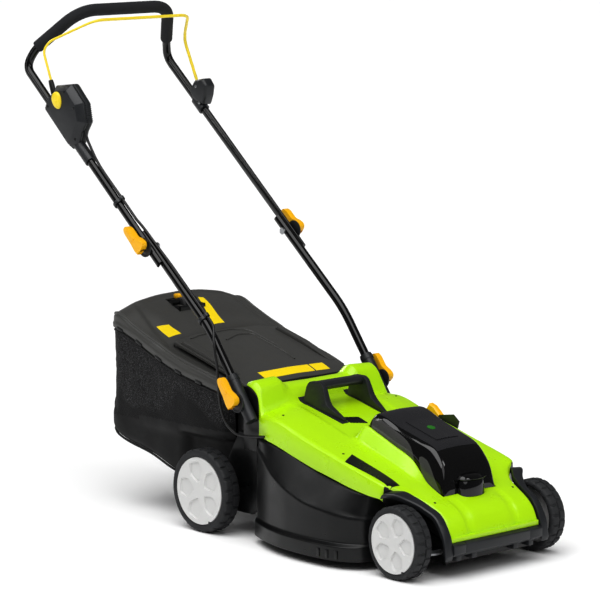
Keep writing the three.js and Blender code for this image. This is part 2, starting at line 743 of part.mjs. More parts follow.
function bailBracket() {
  const outline = [
    [-534, 874], [-516, 892], [-498, 912], [-468, 918], [-454, 903], [-457, 880], [-463, 854], [-478, 839],
    [-506, 846],
  ];
  const body = slab(outline, 190, 222, 2);
  const bore = barBetween([onUpperTube(780), UPPER_TUBE_Y, 780], [onUpperTube(960), UPPER_TUBE_Y, 960],
    TUBE_RADIUS + GAP, 18);
  return cut(body, bore, bailSlot(LEFT));
}

// ---------------------------------------------------------------- control lead

const LEAD_ROUTE = {
  upper: [[-394, -204, 817], [-384, -204, 800], [-348, -204, 756], [-273.5, -204, 693], [-225, -204, 651.6]],
  lower: [[-224.4, -204, 651.1], [-205, -199.5, 634], [-172.7, -197.5, 606.6], [-118, -196, 563],
    [-20, -194, 479.6], [14, -194, 451], [24, -198, 438], [33, -206, 422], [40, -210, 405],
    [44, -211, 385], [48, -210, 366]],
  deck: [[48.2, -210, 365], [50, -209, 330], [54, -207, 286], [68, -204, 248], [96, -203, 228],
    [132, -203, 226], [170, -202, 230], [186, -199, 232]],
};

function lead(name) {
  const path = new THREE.CatmullRomCurve3(LEAD_ROUTE[name].map((point) => new THREE.Vector3(...point)),
    false, 'centripetal');
  return pipe(path, LEAD_RADIUS, 8, Math.ceil(path.getLength() / 11));
}

// A clip of two rings: one round the tube, one round the lead that runs beside it.
// slope is the tube's run along X for each millimetre of height.
function cableClip(tubeX, tubeY, tubeZ, slope) {
  const run = new THREE.Vector3(slope, 0, 1).normalize();
  const leadOffset = new THREE.Vector3(run.z, 0, -run.x).multiplyScalar(14.5);
  const tubeCentre = new THREE.Vector3(tubeX, tubeY, tubeZ);
  const rod = (centre, half, radius) => barBetween(
    centre.clone().addScaledVector(run, -half).toArray(),
    centre.clone().addScaledVector(run, half).toArray(), radius, 14);
  const leadCentre = tubeCentre.clone().add(leadOffset);
  const rings = join(rod(tubeCentre, 4, TUBE_RADIUS + 3.4), rod(leadCentre, 4, LEAD_RADIUS + 3));
  return cut(rings, rod(tubeCentre, 8, TUBE_RADIUS + 0.7), rod(leadCentre, 8, LEAD_RADIUS + 0.9));
}

// ---------------------------------------------------------------- grass box

// x, seam height, edge height, middle height of the hard lid
const LID_STATIONS = [
  [-354, 400, 414, 428],
  [-347, 400, 428, 455],
  [-325, 399, 432, 463],
  [-270, 385, 412, 450],
  [-220, 365, 393, 422],
  [-176, 348, 378, 398],
  [-168, 345, 374, 384],
  [-100, 325, 354, 366],
  [-25, 310, 337, 344],
  [30, 298, 322, 328],
  [72, 290, 308, 312],
];
const LID_HALF = [[-354, 158], [-347, 173], [-325, 182], [-270, 184], [-90, 183], [30, 176], [72, 156]];

function lidRing([x, seam, edge, middle], inset, drop) {
  const half = along(LID_HALF, x);
  const rise = middle - edge;
  return mirroredRing(x, [
    [half - inset, seam - drop], [half - 2 - inset, edge - 4 - inset], [half - 7 - inset, edge - inset],
    [half * 0.66 - inset, edge + rise * 0.62 - inset], [half * 0.33 - inset, edge + rise * 0.92 - inset],
    [0, middle - inset],
  ]);
}

function bagLid() {
  const outer = loft(LID_STATIONS.map((station) => lidRing(station, 0, 0)));
  const last = LID_STATIONS.length - 1;
  const inner = loft(LID_STATIONS.map((station, index) => {
    const [x, ...rest] = station;
    const ends = index === 0 ? 3 : 0;
    return lidRing([index === last ? x - 3 : x + ends, ...rest], 3, 30);
  }));
  const pocket = block(-306, -254, -46, 22, 427, 520);
  const pocketShell = cut(block(-309, -251, -49, 25, 424, 446), pocket);
  const gripBar = block(-292, -276, -47, 23, 444, 456);
  const shell = join(cut(outer, inner, pocket), pocketShell, gripBar);
  const frame = cut(block(40, 134, -146, 146, 80, 300), block(20, 150, -134, 134, 92, 288));
  const hingeRoom = slab([[74, 299], [108, 299], [140, 290], [140, 340], [74, 340]], -200, 200);
  return cut(join(shell, frame), hingeRoom);
}

// x, half width low, half width high, bottom height; the top follows the lid's seam
const BAG_STATIONS = [
  [-351, 164, 157, 186],
  [-344, 177, 171, 166],
  [-318, 182, 180, 152],
  [-220, 177, 181, 128],
  [-130, 170, 181, 98],
  [-98, 146, 181, 94],
  [-40, 144, 178, 90],
  [20, 142, 172, 88],
  [36, 142, 150, 88],
];

function bagRing([x, low, high, bottom], inset, lift) {
  const top = along(LID_STATIONS.map(([px, seam]) => [px, seam]), x) - 0.5 + lift;
  const shelf = Math.max(bottom + 60, 200);
  return mirroredRing(x, [
    [low - 16 - inset, bottom + inset], [low - inset, bottom + 14 + inset], [low - inset, shelf - 14 + inset],
    [high - inset, shelf + inset], [high - inset, top - 20], [high - inset, top],
  ]);
}

// The bag's rings stand at its own stations and at the lid's, so their seam agrees.
function bagRings() {
  const column = (index) => BAG_STATIONS.map((station) => [station[0], station[index]]);
  const [first] = BAG_STATIONS[0];
  const [last] = BAG_STATIONS[BAG_STATIONS.length - 1];
  const places = new Set([...BAG_STATIONS, ...LID_STATIONS].map(([x]) => x));
  return [...places].filter((x) => x >= first && x <= last).sort((a, b) => a - b)
    .map((x) => [x, along(column(1), x), along(column(2), x), along(column(3), x)]);
}

function bagFabric() {
  const stations = bagRings();
  const outer = loft(stations.map((station) => bagRing(station, 0, 0)));
  const last = stations.length - 1;
  const inner = loft(stations.map(([x, ...rest], index) => {
    const ends = index === 0 ? 2.5 : 0;
    return bagRing([index === last ? x + 20 : x + ends, ...rest], 2.5, 40);
  }));
  return cut(outer, inner);
}

// ---------------------------------------------------------------- rear flap

const FLAP_STATIONS = [
  [80, 321, 318], [45, 336, 331], [-4, 350, 343], [-60, 367, 359], [-120, 384, 374], [-165, 396, 385],
];

function rearFlap() {
  const thick = 4;
  const half = 150;
  const ring = ([x, middle, edge]) => {
    const top = [[half, edge], [half * 0.6, middle - 2], [0, middle]];
    const under = [[half * 0.6, middle - 2 - thick], [half, edge - thick]];
    const right = [...top.map(([y, z]) => [x, -y, z])];
    const leftTop = top.slice(0, 2).reverse().map(([y, z]) => [x, y, z]);
    const below = [
      ...under.slice().reverse().map(([y, z]) => [x, y, z]),
      [x, 0, middle - thick],
      ...under.map(([y, z]) => [x, -y, z]),
    ];
    return [...right, ...leftTop, ...below];
  };
  const plate = loft(FLAP_STATIONS.map(ring));
  const barrel = barAlongY(7, -148, 148, ...FLAP_PIVOT, 18);
  const link = slab([[76, 314], [90, 321], [90, 312], [80, 310]], -148, 148);
  return cut(join(plate, barrel, link), barAlongY(3.5 + GAP, -200, 200, ...FLAP_PIVOT, 16));
}

// ---------------------------------------------------------------- assembly

addWheels();
piece('front_axle', crankedAxle(FRONT, 152), 'steel');
piece('rear_axle', crankedAxle(REAR, 168), 'steel');
piece('deck_housing', deckHousing(), 'deckBlack');
piece('hood_cover', hoodCover(), 'green');
piece('front_bumper', frontBumper(), 'trimBlack');
piece('carry_handle', carryHandle(), 'trimBlack');
piece('battery_cover', batteryCover(), 'coverBlack');
piece('battery_tray', batteryTray(), 'trimBlack');
piece('battery_pack', batteryPack(), 'batteryBlack');
piece('safety_key', slab([[541, 178], [541, 200], [549, 206], [556, 200], [556, 178]], -8, 8, 1.5), 'keyRed');
piece('motor', motor(), 'steel');
piece('blade_carrier', bladeCarrier(), 'steel');
piece('blade', blade(), 'steel');
piece('height_lever', heightLever(), 'steel');
piece('height_knob', heightKnob(), 'yellow');
piece('height_quadrant', heightQuadrant(), 'trimBlack');
piece('handle_bar', handleBar(), 'tubeBlack');
piece('foam_grip', foamGrip(), 'foamBlack');
piece('switch_box', switchBox(), 'trimBlack');
piece('switch_box_lid', switchBoxLid(), 'trimBlack');
piece('lock_button', lockButton(), 'yellow');
piece('bail_bar', bailBar(), 'yellow');
piece('bail_bracket', bailBracket(), 'trimBlack');
piece('lead_upper', lead('upper'), 'trimBlack');
piece('lead_lower', lead('lower'), 'trimBlack');
piece('lead_deck', lead('deck'), 'trimBlack');
piece('cable_clip_upper', cableClip(onUpperTube(681.5), -UPPER_TUBE_Y, 681.5, -1.176), 'trimBlack');
piece('cable_clip_lower', cableClip(onLowerTube(455), -LOWER_TUBE_Y, 455, -1.189), 'trimBlack');
piece('bag_fabric', bagFabric(), 'fabricBlack');
piece('bag_lid', bagLid(), 'lidGrey');
piece('rear_flap', rearFlap(), 'lidGrey');
piece('flap_rod', barAlongY(3.5, -158, 158, ...FLAP_PIVOT, 14), 'steel');

for (const [sideName, side] of SIDES) {
  piece(`arch_trim_${sideName}`, archTrim(side), 'trimBlack');
  piece(`handle_bracket_${sideName}`, handleBracket(side), 'deckBlack');
  piece(`lower_tube_${sideName}`, lowerTube(side), 'tubeBlack');
  piece(`tube_foot_${sideName}`, tubeFoot(side), 'trimBlack');
  for (const [level, clamp] of [['lower', LOWER_CLAMP], ['upper', UPPER_CLAMP]]) {
    piece(`${level}_bolt_${sideName}`, clampBolt(clamp, side), 'steel');
    piece(`${level}_washer_${sideName}`, cupWasher(clamp, side), 'trimBlack');
    piece(`${level}_lever_${sideName}`, camLever(clamp, side), 'yellow');
  }
}

const overall = new THREE.Box3().setFromObject(mower);
const middle = overall.getCenter(new THREE.Vector3());
mower.position.set(-middle.x, -middle.y, -overall.min.z);

export default mower;
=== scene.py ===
"""Walk-behind cordless lawn mower with a grass box: the visible pieces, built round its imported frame.

Lengths in this file are millimetres, measured from the rear wheels' axle (X, towards the front), the
mower's middle line (Y, towards the left wheels) and the ground (Z). at() turns them to the frame's metres.
"""

import math

import bmesh
import bpy
import numpy as np
from mathutils import Matrix, Vector, noise


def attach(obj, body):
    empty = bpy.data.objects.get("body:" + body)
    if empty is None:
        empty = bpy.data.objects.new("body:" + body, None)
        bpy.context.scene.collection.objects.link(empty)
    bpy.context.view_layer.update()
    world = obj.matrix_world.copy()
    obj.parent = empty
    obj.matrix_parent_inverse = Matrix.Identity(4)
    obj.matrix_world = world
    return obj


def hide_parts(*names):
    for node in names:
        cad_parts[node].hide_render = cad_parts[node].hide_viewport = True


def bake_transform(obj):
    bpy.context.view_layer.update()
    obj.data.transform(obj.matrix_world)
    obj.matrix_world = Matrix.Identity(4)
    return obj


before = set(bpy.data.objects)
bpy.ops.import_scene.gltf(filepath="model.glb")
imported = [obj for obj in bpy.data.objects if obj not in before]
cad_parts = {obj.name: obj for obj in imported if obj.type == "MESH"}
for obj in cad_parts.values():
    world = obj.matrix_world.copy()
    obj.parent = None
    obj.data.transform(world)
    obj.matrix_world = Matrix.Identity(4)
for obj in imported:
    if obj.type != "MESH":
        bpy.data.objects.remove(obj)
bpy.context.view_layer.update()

MM = 0.001
MIDDLE_X = 33.391                  # the whole mower's middle lies this far in front of the rear axle
RIGHT, LEFT = -1, 1
SIDES = (("right", RIGHT), ("left", LEFT))


def at(x, y, z):
    """A point of the mower, in metres of the frame."""
    return Vector(((x - MIDDLE_X) * MM, y * MM, z * MM))


# ------------------------------------------------------------------ shaping


def flow(stations, x):
    """Smooth values between stations (x, value, value...), never passing beyond a station's own value."""
    table = np.array(stations, float)
    xs, rows = table[:, 0], table[:, 1:]
    steps = np.diff(xs)[:, None]
    slopes = np.diff(rows, axis=0) / steps
    tangents = np.zeros_like(rows)
    same_way = slopes[:-1] * slopes[1:] > 0
    w0, w1 = 2 * steps[1:] + steps[:-1], steps[1:] + 2 * steps[:-1]
    with np.errstate(divide="ignore", invalid="ignore"):
        between = (w0 + w1) / (w0 / slopes[:-1] + w1 / slopes[1:])
    tangents[1:-1] = np.where(same_way, between, 0)
    tangents[0], tangents[-1] = slopes[0], slopes[-1]
    i = int(np.clip(np.searchsorted(xs, x) - 1, 0, len(xs) - 2))
    h = xs[i + 1] - xs[i]
    t = min(max((x - xs[i]) / h, 0.0), 1.0)
    h00, h10 = 2 * t**3 - 3 * t**2 + 1, t**3 - 2 * t**2 + t
    return (
        h00 * rows[i] + h10 * h * tangents[i]
        + (1 - h00) * rows[i + 1] + (t**3 - t**2) * h * tangents[i + 1]
    )


def eased(points, reaches, steps=4):
    """A run of corner points whose inner corners become short curves; reaches is how far each one starts."""
    pts = [np.array(p, float) for p in points]
    if np.isscalar(reaches):
        reaches = [reaches] * (len(pts) - 2)
    made = [pts[0]]
    for i in range(1, len(pts) - 1):
        back, on = pts[i - 1] - pts[i], pts[i + 1] - pts[i]
        back_run, on_run = np.linalg.norm(back), np.linalg.norm(on)
        reach = min(reaches[i - 1], back_run * 0.48, on_run * 0.48)
        start = pts[i] + back / max(back_run, 1e-9) * reach
        end = pts[i] + on / max(on_run, 1e-9) * reach
        for step in range(steps + 1):
            t = step / steps
            made.append((1 - t) ** 2 * start + 2 * t * (1 - t) * pts[i] + t * t * end)
    made.append(pts[-1])
    return made


def stepped(points, step):
    """The same run with more points, about step apart."""
    pts = [np.array(p, float) for p in points]
    made = []
    for a, b in zip(pts, pts[1:]):
        count = max(int(np.linalg.norm(b - a) / step), 1)
        made += [a + (b - a) * k / count for k in range(count)]
    return made + [pts[-1]]


def evenly(points, count):
    """The same run as count points, evenly spaced along it."""
    pts = np.array(points)
    run = np.concatenate([[0], np.cumsum(np.linalg.norm(np.diff(pts, axis=0), axis=1))])
    marks = np.linspace(0, run[-1], count)
    return np.column_stack([np.interp(marks, run, column) for column in pts.T])


def mirrored(half):
    """Both halves of an outline across the mower, from [y, z] points that run up to the middle line."""
    left = [(y, z) for y, z in half if y > 1e-6]
    return [(-y, z) for y, z in half] + left[::-1]


def piece(name, points, faces, finish, crease=35):
    """A mesh piece in the frame's metres, shaded smooth except across edges sharper than crease."""
    mesh = bpy.data.meshes.new(name)
    mesh.from_pydata([tuple(at(*p)) for p in points], [], faces)
    body = bpy.data.objects.new(name, mesh)
    bpy.context.scene.collection.objects.link(body)
    tidy = bmesh.new()
    tidy.from_mesh(mesh)
    bmesh.ops.remove_doubles(tidy, verts=tidy.verts, dist=2e-6)
    bmesh.ops.recalc_face_normals(tidy, faces=tidy.faces)
    tidy.to_mesh(mesh)
    tidy.free()
    mesh.materials.append(finish)
    smooth(body, crease)
    return body


def smooth(body, crease=35):
    """Shades a piece smooth, except across edges sharper than crease degrees."""
    body.data.shade_smooth()
    body.data.set_sharp_from_angle(angle=math.radians(crease))
    return body


def skin(name, rings, finish, around=False, caps=False, crease=35):
    """A sheet over rows of points. around closes each row; caps closes both ends."""
    count = len(rings[0])
    points = [p for ring in rings for p in ring]
    faces = []
    last = count if around else count - 1
    for r in range(len(rings) - 1):
        for i in range(last):
            j = (i + 1) % count
            faces.append((r * count + i, r * count + j, (r + 1) * count + j, (r + 1) * count + i))
    if caps:
        end = (len(rings) - 1) * count
        faces += [tuple(range(count - 1, -1, -1)), tuple(range(end, end + count))]
    return piece(name, points, faces, finish, crease)


def plate(name, outline, y0, y1, finish, bevel=0.0, crease=35, segments=2):
    """An outline of [x, z] points made solid between y0 and y1, its edges rounded by bevel."""
    rings = [[(x, y, z) for x, z in outline] for y in (y0, y1)]
    body = skin(name, rings, finish, around=True, caps=True, crease=crease)
    return rounded_off(body, bevel, segments) if bevel else body


def rounded_off(body, width, segments=2, angle=28):
    """Rounds the edges of a finished mesh, as a mould's radii do."""
    round_edges = body.modifiers.new("edges", "BEVEL")
    round_edges.width = width * MM
    round_edges.segments = segments
    round_edges.limit_method = "ANGLE"
    round_edges.angle_limit = math.radians(angle)
    round_edges.harden_normals = False
    settle(body)
    return smooth(body, 50)


def settle(body):
    """Makes a piece's modifiers part of its mesh."""
    bpy.context.view_layer.update()
    graph = bpy.context.evaluated_depsgraph_get()
    made = bpy.data.meshes.new_from_object(
        body.evaluated_get(graph), preserve_all_data_layers=True, depsgraph=graph)
    body.modifiers.clear()
    old = body.data
    body.data = made
    made.name = body.name
    bpy.data.meshes.remove(old)
    return body


def thicken(body, wall):
    """Gives a sheet its wall, on the inner side."""
    shell = body.modifiers.new("wall", "SOLIDIFY")
    shell.thickness = wall * MM
    shell.offset = -1
    shell.use_even_offset = False
    return settle(body)


def carve(body, *tools):
    """Cuts the tools out of a closed piece and removes them."""
    for tool in tools:
        work = body.modifiers.new("carve", "BOOLEAN")
        work.operation = "DIFFERENCE"
        work.solver = "MANIFOLD"
        work.object = tool
        settle(body)
        bpy.data.objects.remove(tool)
    return body


def merge(name, *parts):
    """Several loose solids as one piece; each keeps its own finish."""
    kept = []
    joined = bmesh.new()
    for part in parts:
        offset = []
        for finish in part.data.materials:
            if finish not in kept:
                kept.append(finish)
            offset.append(kept.index(finish))
        before = len(joined.faces)
        joined.from_mesh(part.data)
        joined.faces.ensure_lookup_table()
        for face in joined.faces[before:]:
            face.material_index = offset[face.material_index]
    mesh = bpy.data.meshes.new(name)
    joined.to_mesh(mesh)
    joined.free()
    for finish in kept:
        mesh.materials.append(finish)
    body = bpy.data.objects.new(name, mesh)
    bpy.context.scene.collection.objects.link(body)
    for part in parts:
        bpy.data.objects.remove(part)
    body.data.set_sharp_from_angle(angle=math.radians(40))
    return body


def box(name, x0, x1, y0, y1, z0, z1, finish, bevel=0.0):
    """A block between two values of X, Y and Z."""
    return plate(name, [(x0, z0), (x1, z0), (x1, z1), (x0, z1)], y0, y1, finish, bevel)


def rod(name, path, radius, finish, sides=20, ends=0.0):
    """A round bar along a path of points. radius is a number, or one number for each point."""
    pts = [np.array(p, float) for p in path]
    radii = [radius] * len(pts) if np.isscalar(radius) else radius
    ways = [(b - a) / np.linalg.norm(b - a) for a, b in zip(pts, pts[1:])]
    bends = [(a + b) / np.linalg.norm(a + b) for a, b in zip(ways, ways[1:])]
    tangents = [ways[0]] + bends + [ways[-1]]
    side = np.cross(tangents[0], (0, 0, 1) if abs(tangents[0][2]) < 0.9 else (1, 0, 0))
    side /= np.linalg.norm(side)
    rings = []
    for p, t, r in zip(pts, tangents, radii):
        side = side - t * np.dot(side, t)
        side /= np.linalg.norm(side)
        up = np.cross(t, side)
        turns = [2 * math.pi * k / sides for k in range(sides)]
        rings.append([tuple(p + r * (math.cos(a) * side + math.sin(a) * up)) for a in turns])
    if ends:
        rings = [shrunk(rings[0], pts[0], ends)] + rings + [shrunk(rings[-1], pts[-1], ends)]
    return skin(name, rings, finish, around=True, caps=True, crease=40)


def shrunk(ring, centre, by):
    """A ring drawn in towards its centre, which leaves a chamfer at a bar's end."""
    made = []
    for p in ring:
        out = np.array(p) - centre
        made.append(tuple(centre + out * (1 - by / np.linalg.norm(out))))
    return made


def turned(name, profile, centre, finish, segments=72, across=(0, 1, 0), crease=35):
    """A profile of [radius, along] points turned about an axis through centre."""
    axis = Vector(across).normalized()
    spin = Vector((0, 1, 0)).rotation_difference(axis)
    rings = []
    for k in range(segments):
        a = 2 * math.pi * k / segments
        ring = []
        for r, along in profile:
            local = spin @ Vector((r * math.sin(a), along, r * math.cos(a)))
            ring.append((centre[0] + local.x, centre[1] + local.y, centre[2] + local.z))
        rings.append(ring)
    rings.append(rings[0])
    return skin(name, rings, finish, crease=crease)


def fitted(body, owner, *nodes):
    """Puts a finished piece on its body of the frame, in place of the nodes it stands for."""
    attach(body, owner)
    if nodes:
        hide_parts(*nodes)
    return body


# ------------------------------------------------------------------ materials


def colour(code):
    """An sRGB hex colour as the linear numbers the shaders take."""
    parts = [((code >> shift) & 255) / 255 for shift in (16, 8, 0)]
    return [c / 12.92 if c <= 0.04045 else ((c + 0.055) / 1.055) ** 2.4 for c in parts] + [1.0]


def surface(name, code, **values):
    """A material with plain values on its shader: the material, its tree and the shader."""
    made = bpy.data.materials.new(name)
    made.use_nodes = True
    shader = made.node_tree.nodes["Principled BSDF"]
    shader.inputs["Base Color"].default_value = colour(code)
    for key, value in values.items():
        shader.inputs[key.replace("_", " ")].default_value = value
    return made, made.node_tree, shader


def node(tree, kind, settings=(), **sockets):
    """Adds a node: settings are its own choices, sockets are numbers or the outputs that feed it."""
    made = tree.nodes.new(kind)
    for key, value in dict(settings).items():
        setattr(made, key, value)
    for key, value in sockets.items():
        socket = made.inputs[int(key[1:])] if key[0] == "n" and key[1:].isdigit() else made.inputs[
            key.replace("_", " ")]
        if isinstance(value, bpy.types.NodeSocket):
            tree.links.new(value, socket)
        else:
            socket.default_value = value
    return made


def per_mm(size):
    """The scale that makes a pattern repeat every size millimetres."""
    return 1 / (size * MM)


def ramp(tree, source, stops):
    """Source drawn through grey stops of (place, level)."""
    made = node(tree, "ShaderNodeValToRGB", Fac=source)
    elements = made.color_ramp.elements
    while len(elements) < len(stops):
        elements.new(0.5)
    for element, (place, level) in zip(elements, stops):
        element.position = place
        element.color = (level, level, level, 1)
    return made.outputs["Color"]


def grain(made, tree, shader, cell, depth, even=0.5, spread=0.06):
    """A mould's fine texture: pits about cell mm wide and depth mm deep, and uneven polish over 40 mm."""
    where = node(tree, "ShaderNodeTexCoord").outputs["Object"]
    pits = node(tree, "ShaderNodeTexNoise", Vector=where, Scale=per_mm(cell), Detail=2.0).outputs["Fac"]
    bump = node(tree, "ShaderNodeBump", Height=pits, Strength=1.0, Distance=depth * MM)
    tree.links.new(bump.outputs["Normal"], shader.inputs["Normal"])
    patches = node(tree, "ShaderNodeTexNoise", Vector=where, Scale=per_mm(40), Detail=4.0).outputs["Fac"]
    polish = node(tree, "ShaderNodeMapRange", Value=patches, n1=0.3, n2=0.7, n3=even - spread,
                  n4=even + spread)
    tree.links.new(polish.outputs["Result"], shader.inputs["Roughness"])
    return made


def moulded(name, code, rough, cell=0.5, depth=0.02, spread=0.05, **values):
    """One colour with a grain: rough is the middle roughness and spread how far it wanders."""
    return grain(*surface(name, code, **values), cell, depth, rough, spread)


def lime_abs():
    """Moulded ABS from a polished tool: clear bright green with soft, slightly wavy highlights."""
    return moulded("lime ABS, moulded in a polished tool", 0xB6E608, 0.3, 5.0, 0.004, 0.04, IOR=1.54)


def deck_plastic():
    """Polypropylene from an etched tool: a fine even grain that spreads the light into a soft sheen."""
    return moulded("black polypropylene, etched grain", 0x0B0C0D, 0.32, 0.7, 0.03, IOR=1.49)


def trim_plastic():
    """Glass-filled nylon: dark grey with a close satin grain."""
    return moulded("dark grey nylon, moulded with a satin grain", 0x25272A, 0.38, 0.4, 0.02, IOR=1.53)


def lid_plastic():
    """Polypropylene with a coarser etched grain: charcoal that turns pale grey where light grazes it."""
    return moulded("charcoal polypropylene, coarse etched grain", 0x484846, 0.38, 0.9, 0.04, IOR=1.49)


def gloss_cover():
    """Polycarbonate from a mirror-polished tool: near black with sharp reflections."""
    return moulded("black polycarbonate, mirror polished mould", 0x060607, 0.06, 6.0, 0.004, 0.015, IOR=1.585)


def smoked_window():
    """Smoke-tinted polycarbonate, polished: a brownish grey a shade lighter than the cover."""
    return moulded("smoked polycarbonate, polished", 0x4C4B4C, 0.12, 6.0, 0.004, 0.02, IOR=1.585)


def cover_top():
    """The cover's top, textured in the mould: black with a soft satin shine."""
    return moulded("black polycarbonate, satin texture", 0x29292C, 0.28, 0.5, 0.01, 0.03, IOR=1.585)


def tyre_rubber():
    """Moulded rubber: dark grey, dull, with dust held in its pores."""
    return moulded("black rubber, moulded", 0x292A2C, 0.66, 1.2, 0.06, 0.08, IOR=1.52)


def wheel_nylon():
    """Moulded nylon: light warm grey with a fine satin face."""
    return moulded("light grey nylon, satin moulded", 0xD4D4D3, 0.42, 0.5, 0.015, IOR=1.53)


def powder_coat():
    """Gloss powder coat over steel tube: black with a faint orange peel that breaks up its highlights."""
    return moulded("black gloss powder coat on steel tube", 0x070708, 0.1, 2.2, 0.012, 0.02, IOR=1.5)


def eva_foam():
    """Closed-cell EVA foam, skived to a sleeve: matt dark grey with tiny open cells."""
    return moulded("black EVA foam, cut cells", 0x292A2D, 0.92, 0.7, 0.16, 0.04, IOR=1.45)


def yellow_nylon():
    """Moulded nylon: warm amber yellow with a soft gloss."""
    return moulded("amber nylon, moulded", 0xF7BC10, 0.34, 0.8, 0.01, IOR=1.53)


def bail_coat():
    """Vinyl dipped over the bail's steel rod: lemon yellow, smooth and slightly soft in its shine."""
    return moulded("yellow vinyl, dip coated on steel rod", 0xF4DC34, 0.32, 1.5, 0.01, IOR=1.53)


def zinc_steel():
    """Rolled steel, zinc plated: bluish grey metal with a finely mottled shine."""
    return moulded("steel, zinc plated", 0xA7A9AB, 0.34, 3.0, 0.01, 0.08, Metallic=1.0)


def cast_alloy():
    """Die-cast aluminium, bead blasted: pale metal with a fine rough skin."""
    return moulded("aluminium, die cast and bead blasted", 0xB4B5B7, 0.48, 0.6, 0.03, 0.05, Metallic=1.0)


def battery_case():
    """Moulded ABS of the pack: black with a sandy grain."""
    return moulded("black ABS, sand textured", 0x1B1C1E, 0.5, 0.4, 0.03, IOR=1.54)


def red_abs():
    """Moulded ABS of the safety key: signal red, soft gloss."""
    return moulded("red ABS, moulded", 0xC02418, 0.35, 0.8, 0.01, IOR=1.54)


def orange_abs():
    """Moulded nylon of the spring caps inside the left clamps: bright orange."""
    return moulded("orange nylon, moulded", 0xE0521C, 0.4, 0.8, 0.01, IOR=1.53)


def lead_sheath():
    """Extruded PVC round the control wires: black, smooth and a little greasy."""
    return moulded("black PVC, extruded", 0x161617, 0.36, 1.5, 0.01, IOR=1.53)


def label_film():
    """Printed vinyl: strong yellow, flat and evenly satin."""
    return moulded("yellow vinyl film, printed", 0xF6DC14, 0.38, 1.5, 0.004, 0.02, IOR=1.46)


def dark_film_and_shade():
    """Printed vinyl: near-black panel with a soft shine. The same black is also painted shade, in the cross
    recesses of screw heads.
    """
    return moulded("black vinyl film, printed, and painted shade", 0x101112, 0.28, 1.5, 0.004, 0.02, IOR=1.46)


def green_film():
    """Green ink behind a clear dot."""
    return moulded("green ink under clear lacquer", 0x2C7A22, 0.3, 1.5, 0.004, 0.02, IOR=1.5)


TIMES = {"operation": "MULTIPLY"}


def mesh_cloth():
    """Polyester cloth, woven open: black, dull, with a fine over-and-under weave. In its upper part, where
    the mesh is slack and crumpled, pale flecks are painted into the colour: painted highlights on the
    threads.
    The real threads lie 0.8 mm apart, which is too fine to show, so the weave is drawn at 1.6 mm."""
    made, tree, shader = surface("black polyester cloth, woven mesh", 0x08080A, Roughness=0.86, IOR=1.5,
                                 Sheen_Weight=0.06, Sheen_Roughness=0.4)
    where = node(tree, "ShaderNodeTexCoord").outputs["Object"]
    parts = node(tree, "ShaderNodeSeparateXYZ", Vector=where).outputs
    threads = []
    for axis in ("X", "Z"):
        turns = node(tree, "ShaderNodeMath", TIMES, n0=parts[axis], n1=2 * math.pi * per_mm(1.6))
        threads.append(node(tree, "ShaderNodeMath", {"operation": "SINE"}, n0=turns.outputs[0]).outputs[0])
    weave = node(tree, "ShaderNodeMath", TIMES, n0=threads[0], n1=threads[1]).outputs[0]
    crumple = node(tree, "ShaderNodeTexNoise", Vector=where, Scale=per_mm(9), Detail=6.0, Roughness=0.7)
    # painted light: this noise places the pale flecks, painted highlights on the crumpled upper mesh
    glint_noise = node(tree, "ShaderNodeTexNoise", Vector=where, Scale=per_mm(2.2), Detail=2.0)
    slack = node(tree, "ShaderNodeTexNoise", Vector=where, Scale=per_mm(90), Detail=1.0)
    glint_spots = ramp(tree, glint_noise.outputs["Fac"], ((0.53, 0.0), (0.66, 1.0)))
    edge = node(tree, "ShaderNodeMath", {"operation": "MULTIPLY_ADD"}, n0=slack.outputs["Fac"], n1=0.16,
                n2=0.175)
    rise = node(tree, "ShaderNodeMath", {"operation": "SUBTRACT"}, n0=parts["Z"], n1=edge.outputs[0])
    high = node(tree, "ShaderNodeMapRange", Value=rise.outputs[0], n1=-0.006, n2=0.012, n3=0.0, n4=1.0)
    glint_amount = node(tree, "ShaderNodeMath", TIMES, n0=glint_spots, n1=high.outputs[0])
    shade = node(tree, "ShaderNodeMath", TIMES, n0=glint_amount.outputs[0], n1=0.8)
    # painted highlights: the mix lays pale 0x545456 flecks over the black cloth, only above the slack line
    mix = node(tree, "ShaderNodeMix", {"data_type": "RGBA"}, Factor=shade.outputs[0])
    mix.inputs[6].default_value = colour(0x08080A)
    mix.inputs[7].default_value = colour(0x545456)
    tree.links.new(mix.outputs[2], shader.inputs["Base Color"])
    rough = node(tree, "ShaderNodeMath", TIMES, n0=crumple.outputs["Fac"], n1=high.outputs[0])
    coarse = node(tree, "ShaderNodeBump", Height=rough.outputs[0], Strength=1.0, Distance=3.0 * MM)
    fine = node(tree, "ShaderNodeBump", Height=weave, Strength=0.7, Distance=0.25 * MM,
                Normal=coarse.outputs["Normal"])
    tree.links.new(fine.outputs["Normal"], shader.inputs["Normal"])
    return made


def plain_cloth():
    """Coated polyester cloth, plain woven: black with a smoother, faintly shiny face."""
    return moulded("black coated polyester cloth, plain woven", 0x0C0C0D, 0.62, 1.2, 0.12, 0.08, IOR=1.5)


LIME = lime_abs()
DECK_BLACK = deck_plastic()
TRIM = trim_plastic()
CHARCOAL = lid_plastic()
GLOSS = gloss_cover()
SMOKE = smoked_window()
COVER_TOP = cover_top()
RUBBER = tyre_rubber()
WHEEL = wheel_nylon()
TUBE = powder_coat()
FOAM = eva_foam()
AMBER = yellow_nylon()
LEMON = bail_coat()
ZINC = zinc_steel()
ALLOY = cast_alloy()
BATTERY = battery_case()
RED = red_abs()
ORANGE = orange_abs()
SHEATH = lead_sheath()
YELLOW_FILM = label_film()
DARK_FILM_AND_SHADE = dark_film_and_shade()
GREEN_FILM = green_film()
MESH = mesh_cloth()
CLOTH = plain_cloth()


# ------------------------------------------------------------------ wheels

